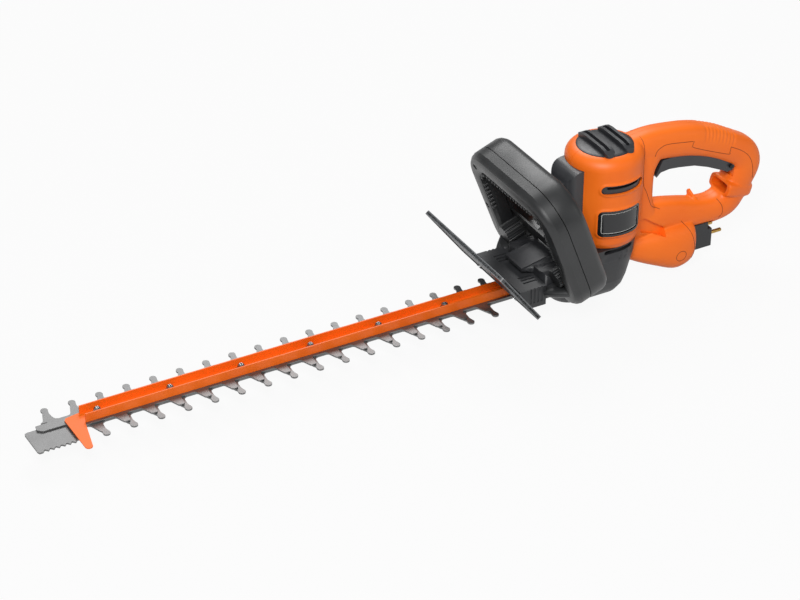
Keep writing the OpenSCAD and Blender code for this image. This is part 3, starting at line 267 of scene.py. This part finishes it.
def turned(outline):
    """A solid turned round the motor axis from an outline of radius and height."""
    return lofted([[(x, y, z) for x, y in circle(max(r, 0.01), 96)] for r, z in outline])


def barrel(radius, z0=80, z1=175):
    """A plain cylinder round the motor axis."""
    return turned([(0, z0), (radius, z0), (radius, z1), (0, z1)])


def prism(outline, y0, y1):
    """A solid drawn in X and Z that runs along Y."""
    return lofted([[(x, y, z) for x, z in outline] for y in (y0, y1)])


def on_side(outline, side, near, far):
    """A solid drawn in X and Z that stands on one side of the middle plane."""
    return prism(outline, *sorted((side * near, side * far)))


def seen_from_front(outline, x0, x1):
    """A solid drawn in Y and Z that runs along X."""
    return lofted([[(x, y, z) for y, z in outline] for x in (x0, x1)])


def arc(x, z, radius, start, end, steps=8):
    """Points of an arc round x, z between two angles in degrees."""
    angles = [math.radians(start + (end - start) * k / steps) for k in range(steps + 1)]
    return [(x + radius * math.cos(a), z + radius * math.sin(a)) for a in angles]


def rod(x, z, radius, reach):
    """A round rod along Y that reaches equally far to both sides."""
    return prism(arc(x, z, radius, 0, 345, 23), -reach, reach)


def round_rect(x0, z0, x1, z1, r):
    """A rectangle between two corners, with its own corners rounded."""
    return (arc(x1 - r, z0 + r, r, -90, 0) + arc(x1 - r, z1 - r, r, 0, 90)
            + arc(x0 + r, z1 - r, r, 90, 180) + arc(x0 + r, z0 + r, r, 180, 270))


def carved(piece, steps):
    """Joins, cuts or trims a closed piece with closed tools, one after the other; the tools go."""
    for operation, tool in steps:
        change = piece.modifiers.new(operation, "BOOLEAN")
        change.operation, change.object, change.solver = operation, tool, "MANIFOLD"
    graph = bpy.context.evaluated_depsgraph_get()
    mesh = bpy.data.meshes.new_from_object(piece.evaluated_get(graph))
    piece.modifiers.clear()
    piece.data = mesh
    for tool in {tool for _, tool in steps}:
        bpy.data.objects.remove(tool)
    return piece


def merged(pieces):
    """One object that holds the meshes of all pieces; the pieces go."""
    bm = bmesh.new()
    for piece in pieces:
        bm.from_mesh(piece.data)
        bpy.data.objects.remove(piece)
    mesh = bpy.data.meshes.new("merged")
    bm.to_mesh(mesh)
    bm.free()
    return object_of("merged", mesh)


def finished(piece, name, node, material, edge_mm=0.0):
    """Names a modelled piece, gives it its material and edge, and lets it stand for a node."""
    piece.name = piece.data.name = name
    piece.data.materials.clear()
    piece.data.materials.append(material)
    edged(piece, edge_mm, 32)
    stand_for(piece, node)


# Centre line of the D-handle: X, Z and half thickness
handle_line = [(30, 178, 19), (60, 179.5, 20.5), (90, 177, 20.5), (120, 171.5, 20.5), (150, 161, 20),
               (178, 146, 19.5), (196, 133.5, 20.5), (202, 117.5, 20.5), (195, 99, 19.5),
               (187, 84, 18.5), (176, 71, 18.5), (158, 66, 17), (135, 67, 17.5), (110, 71, 20),
               (80, 76, 22), (50, 78, 24), (30, 78, 24)]
handle_end, rings_per_row = len(handle_line) - 1, 24
grip_half = 18
# Grip grooves over the crest: where they start and their pitch in rows, their number and depth
groove_from, groove_pitch, groove_count, groove_depth = 3.3, 0.165, 9, 1.1


def handle_ring(u, sink):
    """The handle's section at parameter u, sunk over its crest."""
    near = (u, min(handle_end, u + 0.02), max(0, u - 0.02))
    (x, z, half), ahead, behind = (smooth(handle_line, v) for v in near)
    along = Vector((ahead[0] - behind[0], ahead[1] - behind[1])).normalized()
    ring = []
    for out, up in whole_section(10, 1.75):
        cut = sink * min(1, 2 * up) if up > 0 else 0
        ring.append((x - along.y * (half - cut) * up, (grip_half - cut) * out,
                     z + along.x * (half - cut) * up))
    return ring


def in_groove(u):
    """How deep the grip is sunk at parameter u."""
    share = (u - groove_from) / groove_pitch
    if not 0 < share < groove_count:
        return 0.0
    return groove_depth * max(0.0, math.sin(math.pi * (share % 1))) ** 2


cup_mouth_x, cup_z, cup_pitch, cup_len = 170.5, 93.5, math.radians(17), 42


def in_cup(x, y, z):
    """A point of the cord cup's pitched frame."""
    return (cup_mouth_x + x * math.cos(cup_pitch) + z * math.sin(cup_pitch), y,
            cup_z - x * math.sin(cup_pitch) + z * math.cos(cup_pitch))


case_top, barrel_r, barrel_top, shoulder_r, shell_wall = 77, 47, 197, 15, 2.6
shoulder = (barrel_r - shoulder_r, barrel_top - shoulder_r)
barrel_line = ([(0, case_top), (42, case_top), (45, case_top + 7), (46.5, 100), (barrel_r, 140)]
               + arc(*shoulder, shoulder_r, 0, 90) + [(0, barrel_top)])
barrel_room = ([(0, case_top - 1), (39.4, case_top - 1), (39.4, case_top), (42.4, case_top + 7), (44, 100)]
               + arc(*shoulder, shoulder_r - shell_wall, 0, 90) + [(0, barrel_top - shell_wall)])
# Column: Z, X and half depth. Pod: X, half width, half height and Z. Cup: place along it and halves.
column_line = [(84, 48, 32), (95, 48, 23), (103, 48, 19), (112, 48, 17), (138, 48, 17), (150, 48, 19),
               (160, 48, 25), (170, 48, 32)]
pod_line = [(26, 16, 11, 48), (46, 23, 18, 44), (73, 29, 26, 39.5), (95, 31.5, 31.5, 36),
            (110, 31, 31, 36.5), (119.5, 29, 28, 38.5), (123.5, 25, 23, 40)]
cup_line = [(0, 20, 8.6), (3, 20.8, 9.4), (12, 20.6, 9.4), (30, 17.5, 9.2), (39, 14.5, 8.8), (42, 12, 7)]
# Openings in the barrel as two corners in X and Z
vent = (-28, 153.5, 29, 165.5)
badge = (-30, 96.5, 26, 131.5)
far, past = 60, 1  # a Y beyond the barrel, and how far a tool runs past the piece that it cuts
lip_out, lip_in, lip_high = 1.8, -0.5, 1.3


def grown(opening, more):
    """An opening's corners, moved outwards."""
    return (opening[0] - more, opening[1] - more, opening[2] + more, opening[3] + more)


def lip_ring(opening):
    """A raised lip on both sides of the barrel, round an opening."""
    ring = prism(round_rect(*grown(opening, lip_out), 7.8), -far, far)
    hole = prism(round_rect(*grown(opening, lip_in), 5.5), -far - past, far + past)
    return carved(ring, [("INTERSECT", barrel(barrel_r + lip_high, case_top + 10)), ("DIFFERENCE", hole)])


forms = [turned(barrel_line),
         lofted([handle_ring(k / rings_per_row, in_groove(k / rings_per_row))
                 for k in range(handle_end * rings_per_row + 1)]),
         lofted([[(x - half * up, (grip_half - 0.6) * out, z) for out, up in whole_section(8, 2.4)]
                 for z, x, half in eased(column_line, 3)]),
         lofted([[(x, wide * out, z + high * up) for out, up in whole_section(10, 1.9)]
                 for x, wide, high, z in eased(pod_line, 3)]),
         lofted([[in_cup(x, wide * out, high * up) for out, up in whole_section(8, 3.2)]
                 for x, wide, high in eased(cup_line, 2)]),
         lip_ring(vent), lip_ring(badge)]
# The cup's hook, drawn in Y and Z as a part on each side of the middle plane
for outline in ([(0, 72), (-17, 72), (-17, 77), (-14.5, 80), (-3, 87.5), (0, 88.5)],
                [(0, 72), (12, 72), (10.5, 80), (13, 88), (12.5, 91.5), (10, 93), (7.5, 91.5), (0, 88.5)]):
    forms.append(seen_from_front(outline, 131, 135))

# The forms melt into one skin, and the smoothing leaves the fillets of the mould
housing = merged(forms)
grid = housing.modifiers.new("grid", "REMESH")
grid.mode, grid.voxel_size = "VOXEL", 1.05 * MM
soft = housing.modifiers.new("soft", "SMOOTH")
soft.factor, soft.iterations = 0.5, 5
pivot_x, pivot_z, pivot_r, pivot_reach = 176, 124, 2.6, 15.4
screw_r, screw_reach = 2.1, 11.5
screw_places = ((56, 98), (56, 150), (155, 68), (196, 112), (95, 20), (60, 190))


def housing_tools():
    """What is cut out of the housing on both sides."""
    cup_hole = lofted([[in_cup(x, wide * out, 6 * up) for out, up in whole_section(6, 3.2)]
                       for x, wide in ((-14, 16), (cup_len - 7, 12.5))])
    inlet_seat = seen_from_front([(-17.3, 20.7), (17.3, 20.7), (17.3, 56.3), (-17.3, 56.3)], 117.7, 153)
    trigger_room = prism([(66.5, 130), (66.5, 165), (80, 186), (124, 184), (150, 168), (181, 140),
                          (185, 124), (181, 108), (170, 110)], -12.4, 12.4)
    tools = [turned(barrel_room), cup_hole, inlet_seat, trigger_room,
             barrel(34.3, barrel_top - 2, barrel_top + 8), prism(round_rect(*vent, 6), -far, far),
             rod(pivot_x, pivot_z, pivot_r, pivot_reach)]
    # The recess between lower bar and pod
    tools += [prism([(40, 88), (51.2, 88.5), (81.4, 67.3), (78.2, 58.2), (46, 70)], middle - 8, middle + 8)
              for middle in (-21, 21)]
    tools += [rod(x, z, screw_r, screw_reach) for x, z in screw_places]
    return [("DIFFERENCE", tool) for tool in tools]


orange_abs = surface("moulded_orange_abs", "#ee6a10", "#f57418", 70, 0.44, 0.08, 0.7, 0.012, ior=1.45)
# The joint lines' dark orange is painted shade, standing in for the shade inside the grooves.
painted_joint_shade = surface("shaded_joint_line", "#7c3008", "#88380b", 20, 0.6, 0.1, 0.5, 0.01)
# Joints between the mouldings in X and Z, and last the bare ring on the pod, as painted shade lines
joint_shade_lines = [
    [(35, 208), (42.4, 200), (44.9, 185), (45.1, 158), (46.4, 136), (51, 125.6), (57, 110), (62, 101),
     (74, 93.6)],
    [(60.8, 170.3), (62.8, 177.3), (69.5, 181.6), (80.5, 182.5), (114.3, 177)],
    [(115.9, 176.6), (114, 172.5), (118.2, 166.8), (165.1, 145.8), (169.2, 147.8), (170.6, 154.2)],
    [(170.6, 154.2), (188, 144), (199.6, 132.4), (205.3, 117), (206.7, 101)],
    [(155.8, 87.2), (163.6, 75), (164.6, 63.6), (159.7, 58.7)],
    [(104, 70.5), (113, 57), (119, 36), (117, 19)],
    arc(98.8, 28.8, 7, 0, 360, 32)]


line_r, outside, inner_walls = 0.38 * MM, 0.09, 0.008  # a ray starts outside; nearer hits are no skin


def scored(skin, side, name):
    """Painted shade lines on the joints of the skin, from its side; points in an opening are left out."""
    tree = BVHTree.FromPolygons([v.co for v in skin.vertices], [p.vertices for p in skin.polygons])
    curve = bpy.data.curves.new(name, "CURVE")
    curve.dimensions, curve.bevel_depth, curve.bevel_resolution = "3D", line_r, 1
    for rows in joint_shade_lines:
        hits = [tree.ray_cast(Vector((x * MM, side * outside, z * MM)), Vector((0, -side, 0)))[0]
                for x, z in eased(rows, 6)]
        hits = [hit for hit in hits if hit and abs(hit.y) > inner_walls]
        spline = curve.splines.new("POLY")
        spline.points.add(len(hits) - 1)
        for point, hit in zip(spline.points, hits):
            point.co = (*hit, 1)
    curve.materials.append(painted_joint_shade)
    lines = object_of(name, curve)
    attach(lines, "machine_body")


pocket_r, half_joint = barrel_r - 1.8, 0.15
graph = bpy.context.evaluated_depsgraph_get()
whole = bpy.data.meshes.new_from_object(housing.evaluated_get(graph))
bpy.data.objects.remove(housing)
for side, name in ((-1, "housing_left"), (1, "housing_right")):
    shell = object_of(name, whole.copy())
    half_space = on_side([(-80, -5), (240, -5), (240, 230), (-80, 230)], side, half_joint, 90)
    cuts = [("INTERSECT", half_space)] + housing_tools()
    if side < 0:
        pocket = on_side(round_rect(*badge, 6), side, 10, far)
        cuts.append(("DIFFERENCE", carved(pocket, [("DIFFERENCE", barrel(pocket_r, z1=150))])))
    carved(shell, cuts)
    finished(shell, name + "_skin", name, orange_abs)
    scored(shell.data, side, name + "_joint_shade_lines")
dressed("housing_screws", zinc_plate, 0.12)

# ---- Gear case skin ------------------------------------------------------------------------------
# The case has one long air slot under the joint on each side, and a rounded ramp that runs down
# over the gear to the bar.
case_r_low, case_r_top, mid_z, fan_room_r = 40, 42, 56, 36.3


def case_wall_ring(z, side):
    """The outside of the case's side wall at one height, closed over the fan's room."""
    r = case_r_low + (case_r_top - case_r_low) * (z - mid_z) / (case_top - mid_z)
    turn = [math.radians(90 - 10 * k) for k in range(6)]
    outer = [(-28, r), (-14, r)] + [(r * math.cos(a), r * math.sin(a)) for a in turn]
    inner = [(fan_room_r * math.cos(a), fan_room_r * math.sin(a)) for a in reversed(turn)]
    return [(x, side * y, z) for x, y in outer + inner + [(-14, fan_room_r), (-28, fan_room_r)]]


# Ramp: X, half width, foot and rise
ramp_line = [(-121, 12, 66, 3), (-117, 17, 65, 6), (-106, 22, 63, 11), (-90, 24, 63, 14.5),
             (-71, 22, 66, 14.5)]
ramp = lofted([[(x, half * up, foot + rise * out) for out, up in half_section(8, 2.2)]
               for x, half, foot, rise in eased(ramp_line, 4)])
case_copy = dressed("gear_case", case_nylon)
case_steps = [("UNION", ramp)]
case_steps += [("UNION", lofted([case_wall_ring(z, side) for z in (59.2, 76.9)])) for side in (-1, 1)]
for side in (-1, 1):
    # The slot opens into a shallow duct, whose inner wall keeps fingers and sight off the fan
    slot = on_side(round_rect(-21, 70.5, 21, 76, 2.7), side, 30, 60)
    case_steps.append(("DIFFERENCE", carved(slot, [("DIFFERENCE", barrel(38, 60, 90))])))
carved(case_copy, case_steps)
edged(case_copy, 0.5)

# ---- Hand guard and bracket ----------------------------------------------------------------------
# The blade-side guard is a flat black plate with a raised rim, whose paler grey is a painted
# highlight on its edges. Two screws hold it to a bracket whose rounded top is cut by short drain slots.
guard_plastic = surface("moulded_polypropylene", "#2a2b2d", "#343537", 35, 0.4, 0.1, 0.6, 0.015)
# The rim's paler grey is a painted highlight.
painted_rim_highlight = surface("painted_highlight_polypropylene", "#5d5f61", "#727476", 9, 0.36, 0.12, 0.6, 0.015)
guard_x, guard_z, guard_tilt = -139, 44, math.radians(37.5)


def in_guard(across, up, behind):
    """A point of the leaning guard's frame: across, up the plate and behind its front face."""
    return (guard_x + behind * math.cos(guard_tilt) - up * math.sin(guard_tilt), across,
            guard_z + behind * math.sin(guard_tilt) + up * math.cos(guard_tilt))


def on_guard(outline, front, back):
    """A solid drawn across and up the plate that runs through it."""
    return lofted([[in_guard(a, b, c) for a, b in outline] for c in (front, back)])


guard_copy = dressed("hand_guard", guard_plastic)
guard_rim = on_guard(round_rect(-88, -2.5, 88, 87, 6), -1.2, 4.2)
carved(guard_rim, [("DIFFERENCE", on_guard(round_rect(-84.5, 1, 84.5, 83.5, 4), -2, 5)),
                   ("DIFFERENCE", on_guard([(-10.8, -9), (10.8, -9), (10.8, -0.9), (-10.8, -0.9)], -3, 6))])
finished(guard_rim, "hand_guard_rim", "hand_guard", painted_rim_highlight, 0.9)
edged(guard_copy, 0.5)
bracket_copy = dressed("guard_bracket", guard_plastic)
drain = [(-128, 56), (-110, 56), (-110, 64), (-128, 64)]
carved(bracket_copy, [("DIFFERENCE", prism(drain, y - 1.2, y + 1.2)) for y in (-34, -28, -22, 22, 28, 34)])
edged(bracket_copy, 0.5)

# ---- Screw heads in the bar ----------------------------------------------------------------------
# Raised pan heads with a cross recess stand in the bar's channel, bright with zinc against its
# orange coat.
first_head_x, head_pitch, recess_low, recess_high = -656, 88.4, 39.4, 43
head_line = ((5.6, 33.8), (5.6, 35), (4.2, 35.2), (4.2, 38.6), (3.6, 40.2), (2, 41.2))
heads = []
for k in range(6):
    centre = head_pitch * k + first_head_x
    head = lofted([[(x, y, z) for x, y in circle(r, 32, centre)] for r, z in head_line])
    cross = [prism(round_rect(centre - wide, recess_low, centre + wide, recess_high, 0.2), -long, long)
             for wide, long in ((0.7, 2.8), (2.8, 0.7))]
    heads.append(carved(head, [("DIFFERENCE", bar) for bar in cross]))
finished(merged(heads), "bar_screw_heads", "bar_screws", zinc_plate, 0.2)

# ---- Front cover, top cap, vents and badge -------------------------------------------------------
# Black ABS mouldings with a soft sheen, set into the orange housing. The badge is a plain plate: its
# polished field mirrors the lamps, and a thin pale line runs round it.
trim_abs = surface("moulded_black_abs", "#26272a", "#303134", 30, 0.34, 0.1, 0.6, 0.012, ior=1.53)


def seen_from_above(outline, z0, z1):
    """A solid drawn in X and Y that runs up Z."""
    return lofted([[(x, y, z) for x, y in outline] for z in (z0, z1)])


# Cover in front of the barrel, with a sunk panel under an arched top
nose, cover_half, cover_low, cover_high = -65, 22, 81, 181
arch_r, toe_r, corner_r, panel_half, cover_gap = 22, 3, 13, 11, 0.2
cover = prism([(-20, cover_low), (-20, cover_high)]
              + arc(nose + arch_r, cover_high - arch_r, arch_r, 90, 180)
              + arc(nose + toe_r, cover_low + toe_r, toe_r, 180, 270, 4), -cover_half, cover_half)
plan = seen_from_above(arc(nose + corner_r, cover_half - corner_r, corner_r, 180, 90)
                       + [(-19, cover_half), (-19, -cover_half)]
                       + arc(nose + corner_r, corner_r - cover_half, corner_r, 270, 180),
                       cover_low - past, cover_high + past)
panel = seen_from_front([(-panel_half, cover_low + 10), (panel_half, cover_low + 10)]
                        + arc(0, 145, panel_half, 0, 180, 16), nose - past, nose + 1.2)
carved(cover, [("INTERSECT", plan), ("DIFFERENCE", panel),
               ("DIFFERENCE", turned([(r and r + cover_gap, z) for r, z in barrel_line]))])
finished(cover, "front_cover_skin", "front_cover", trim_abs, 0.7)

# Domed cap with two saddles, each with an air slot along it
cap_r, cap_low, dome_low, dome_rise = 34, 195, 197, 2.6
dome = [(cap_r * math.cos(math.radians(15 * k)), dome_low + dome_rise * math.sin(math.radians(15 * k)))
        for k in range(1, 7)]
cap = turned([(0, cap_low), (cap_r, cap_low), (cap_r, dome_low)] + dome)
saddle_line = [(-34, -5), (-34, -1), (-31, 4), (-25, 6.8), (-17, 8), (17, 8), (25, 6.8), (31, 4), (34, -1),
               (34, -5)]
saddle_places, saddle_half = (-12, 15), 6.5
cap_steps = []
for x in saddle_places:
    saddle = seen_from_front([(y, barrel_top + z) for y, z in saddle_line], x - saddle_half, x + saddle_half)
    plan = seen_from_above(round_rect(x - saddle_half, -cap_r, x + saddle_half, cap_r, 6.4), 188, 210)
    cap_steps.append(("UNION", carved(saddle, [("INTERSECT", plan)])))
cap_steps += [("DIFFERENCE", seen_from_above(round_rect(x - 2.4, -27, x + 2.4, 27, 2.35), 196.5, 210))
              for x in saddle_places]
carved(cap, cap_steps)
finished(cap, "top_cap_skin", "top_cap", trim_abs, 1.0)

# One sunk insert closes each vent opening: a hollow box behind a single long slit. The radii round
# the motor axis are those of the insert's face and back, its room's front and back, the slit's end.
insert_face, insert_back, room_front, room_back, slit_end = 45.4, 38.8, 43.8, 40, 41.5
insert_inner, slit_low, slit_high, slit_inset = 20, 159.5, 162.8, 7
for side, name in ((-1, "vent_insert_left"), (1, "vent_insert_right")):
    insert = on_side(round_rect(*grown(vent, -0.3), 5.7), side, insert_inner, far)
    slit = on_side(round_rect(vent[0] + slit_inset, slit_low, vent[2] - slit_inset, slit_high, 1.6), side,
                   insert_inner - past, far + past)
    room = on_side(round_rect(*grown(vent, -1.5), 4.5), side, insert_inner - past, far + past)
    carved(room, [("INTERSECT", barrel(room_front)), ("DIFFERENCE", barrel(room_back))])
    carved(slit, [("DIFFERENCE", barrel(slit_end))])
    carved(insert, [("INTERSECT", barrel(insert_face)), ("DIFFERENCE", barrel(insert_back)),
                    ("DIFFERENCE", room), ("DIFFERENCE", slit)])
    finished(insert, name, "vent_inserts", trim_abs, 0.4)

# The badge is a bare glossy field in a raised frame, with a thin pale line inside the frame
badge_gloss = surface("polished_black_abs", "#17181a", "#1d1e20", 30, 0.16, 0.06, 0.8, 0.002, ior=1.53)
badge_print = surface("pale_printed_line", "#b9b9b6", "#c6c6c3", 10, 0.4, 0.1, 0.5, 0.004)
frame_face, print_face, field_face, print_back, badge_back = 47.6, 46.46, 46.4, 46.2, 45.25
plate = on_side(round_rect(*grown(badge, -0.25), 5.8), -1, 10, far)
field = on_side(round_rect(*grown(badge, -3), 3.4), -1, 10, far)
carved(field, [("DIFFERENCE", barrel(field_face))])
carved(plate, [("INTERSECT", barrel(frame_face)), ("DIFFERENCE", barrel(badge_back)), ("DIFFERENCE", field)])
finished(plate, "name_badge_skin", "name_badge", badge_gloss, 0.4)
pale_line = on_side(round_rect(*grown(badge, -4.2), 2.6), -1, 10, far)
within = on_side(round_rect(*grown(badge, -4.8), 2.1), -1, 10 - past, far + past)
carved(pale_line, [("INTERSECT", barrel(print_face)), ("DIFFERENCE", barrel(print_back)),
                   ("DIFFERENCE", within)])
finished(pale_line, "name_badge_line", "name_badge", badge_print)

# ---- Front bail handle ---------------------------------------------------------------------------
# A closed hoop of two half shells, moulded in dark grey nylon with a soft sheen and held to the case
# by four screws.
bail_plastic = surface("moulded_grey_nylon", "#252627", "#2e2f30", 40, 0.37, 0.1, 0.6, 0.015, ior=1.53)
bail_x, bail_z, lean = -86, 100, math.radians(21)


def in_bail(across, up, ahead):
    """A point of the leaning bail's frame: across, up the hoop and along its axis."""
    return (bail_x - up * math.sin(lean) + ahead * math.cos(lean), across,
            bail_z + up * math.cos(lean) + ahead * math.sin(lean))


boss_across, boss_up, boss_r, flute = 57, -23, 12, 2.0


def boss_ring(side, ahead):
    """The outline of a boss with grooves along its axis: two of every five points are sunk."""
    ring = []
    for k in range(96):
        reach, turn = boss_r - flute * (k % 5 < 2), math.tau * k / 96
        ring.append(in_bail(side * boss_across + reach * math.cos(turn), boss_up + reach * math.sin(turn),
                            ahead))
    return ring


dressed("bail_rear_shell", bail_plastic, 0.8, flat=False)
front_shell = dressed("bail_front_shell", bail_plastic)
# The seam keeps the shells 0.9 mm apart
seam = lofted([[in_bail(across, up, ahead) for across, up in ((-100, -60), (100, -60), (100, 110), (-100, 110))]
               for ahead in (-0.9, 0.1)])
# Finger ribs along the inner front lip of the hoop: its top, its sides and its corners
rib_line = ((-20.4, 1.2), (-19.6, 2.1), (-15.7, 2.1))
rib_places = [(6 * k, 74.4) for k in range(-8, 9)]
rib_places += [(side * 67.4, 14 + 6 * k) for side in (-1, 1) for k in range(7)]
rib_places += [(side * (48 + 19.4 * math.sin(a)), 55 + 19.4 * math.cos(a))
               for side in (-1, 1) for a in (0.45, 0.8, 1.15)]
ribs = merged([lofted([[in_bail(a, b, ahead) for a, b in circle(reach, 12, across, up)]
                       for ahead, reach in rib_line]) for across, up in rib_places])
# Wings carry the hoop's feet out of the case: Y, X, half length, half height and Z
wing_line = [(44.6, -90, 15.6, 6.5, 50), (50.6, -91, 15, 6.6, 50.5), (53, -94, 17.5, 6.6, 51),
             (61, -92.5, 15.5, 6.6, 52.5), (70, -88, 11.5, 6, 55), (78, -84, 7, 5, 57)]
shell_steps = [("DIFFERENCE", seam), ("UNION", ribs)]
for side in (-1, 1):
    shell_steps.append(("UNION", lofted([boss_ring(side, ahead) for ahead in (-23.5, 0)])))
    shell_steps.append(("UNION", lofted([[(x + long * out, side * y, z + high * up)
                                          for up, out in circle(1.0, 24)]
                                         for y, x, long, high, z in eased(wing_line, 2)])))
carved(front_shell, shell_steps)
edged(front_shell, 0.5)
dressed("bail_screws", zinc_plate, 0.12)

# ---- Switch lever and trigger --------------------------------------------------------------------
# Both hands have to hold the machine: a lever in the bail, of a lighter grey nylon, and a black
# trigger in the rear handle each press their own switch.
lever_plastic = surface("moulded_lever_nylon", "#3a3b3d", "#454648", 30, 0.36, 0.1, 0.6, 0.012)
blackened_steel = surface("blackened_steel", "#1d1d1e", "#272728", 8, 0.4, 0.1, 0.5, 0.004, 0.6)
dressed("front_switch_lever", lever_plastic, 0.5)
trigger_half, trigger_room_half = 12, 9.6
trigger = prism([(67.5, 140), (68.5, 137), (74, 142.5), (86, 144), (100, 142.6), (122.6, 138.7), (142, 131.5),
                 (161.8, 122), (172, 116.5), (180, 118), (181, 127), (174, 130), (150, 144), (124, 155),
                 (100, 159.5), (76, 158.5)], -trigger_half, trigger_half)
inside = prism([(80, 166), (80, 150), (122, 143), (158, 128), (166, 132), (150, 150), (126, 166)],
               -trigger_room_half, trigger_room_half)
carved(trigger, [("UNION", rod(pivot_x, pivot_z, 6.4, trigger_half)), ("DIFFERENCE", inside),
                 ("DIFFERENCE", rod(pivot_x, pivot_z, 2.55, trigger_half + past))])
finished(trigger, "trigger_skin", "trigger", trim_abs, 1.2)
for part in ("front_switch", "trigger_switch"):
    dressed(part, fan_nylon, 0.3)
for part in ("front_lever_springs", "trigger_spring"):
    dressed(part, spring_wire)
dressed("trigger_pin", blackened_steel)

# ---- Mains inlet ---------------------------------------------------------------------------------
# A black nylon block with two brass pins, onto which the extension lead is pushed. Drawing leaves the
# brass smooth and bright.
dressed("inlet_block", fan_nylon, 0.8)
dressed("inlet_pins", drawn_brass, 0.2)

# ---- Floor, light and camera ---------------------------------------------------------------------
# A plain matt white sweep under large soft lamps. Camera rays see the sweep nearly white, and it
# keeps the shadow of the tool.
floor_half, floor_z, seen_share = 9.0, -0.0003, 0.93
floor_mesh = bpy.data.meshes.new("floor")
bm = bmesh.new()
bmesh.ops.create_grid(bm, x_segments=1, y_segments=1, size=floor_half)
bmesh.ops.translate(bm, vec=(0, 0, floor_z), verts=bm.verts)
bm.to_mesh(floor_mesh)
bm.free()
floor = object_of("floor", floor_mesh)
paper, shader = finish_of("white_paper", Base_Color=linear("#b4b4b4"), Roughness=0.9)
ray = add(paper, "LightPath")
seen = add(paper, "Math", {0: ray.outputs["Is Camera Ray"], 1: ray.outputs["Is Glossy Ray"]},
           operation="MAXIMUM")
clear = add(paper, "Math", {0: seen.outputs[0], 1: ray.outputs["Is Transmission Ray"]},
            operation="MAXIMUM")
glow = add(paper, "Emission", {"Color": (1, 1, 1, 1), "Strength": 1.0})
share = add(paper, "Math", {0: clear.outputs[0], 1: seen_share}, operation="MULTIPLY")
both = add(paper, "MixShader", {0: share.outputs[0], 1: shader.outputs[0], 2: glow.outputs[0]})
out = next(n for n in paper.node_tree.nodes if n.type == "OUTPUT_MATERIAL")
joined(paper, both.outputs[0], out, "Surface")
floor_mesh.materials.append(paper)

world = bpy.data.worlds.new("studio")
world.use_nodes = True
bpy.context.scene.world = world
world.node_tree.nodes.clear()
ray = add(world, "LightPath")
seen = add(world, "Math", {0: ray.outputs["Is Camera Ray"], 1: ray.outputs["Is Transmission Ray"]},
           operation="MAXIMUM")
dim = add(world, "Background", {"Color": (1, 1, 1, 1), "Strength": 0.2})
white = add(world, "Background", {"Color": (1, 1, 1, 1), "Strength": 1.0})
mixed = add(world, "MixShader", {0: seen.outputs[0], 1: dim.outputs[0], 2: white.outputs[0]})
add(world, "OutputWorld", {"Surface": mixed.outputs[0]})

# Name, place, aim, diameter in metres and power in watts
for name, place, aim, size, power in (
        ("key", (-1.5, -1.9, 2.4), (-0.2, 0, 0.1), 1.3, 96),
        ("fill", (1.9, -2.2, 1.2), (0, 0, 0.1), 1.6, 8),
        ("back", (0.6, 2.0, 2.6), (-0.1, 0, 0.1), 1.8, 60)):
    lamp = bpy.data.lights.new(name, "AREA")
    lamp.shape, lamp.size, lamp.energy = "DISK", size, power
    holder = object_of(name, lamp)
    holder.location = place
    holder.rotation_euler = (Vector(aim) - Vector(place)).to_track_quat("-Z", "Y").to_euler()

camera = object_of("camera", bpy.data.cameras.new("camera"))
camera.data.lens, camera.data.sensor_width = 122.85, 36.0
right, up, back = (0.87323, -0.48730, 0.00391), (0.25957, 0.47191, 0.84257), (-0.41243, -0.73474, 0.53857)
facing = Matrix((right, up, back)).transposed().to_4x4()
camera.matrix_world = Matrix.Translation((-1.5743, -2.3166, 1.7614)) @ facing
camera.data.clip_end = 50
bpy.context.scene.camera = camera
bpy.context.scene.view_settings.view_transform = "Standard"
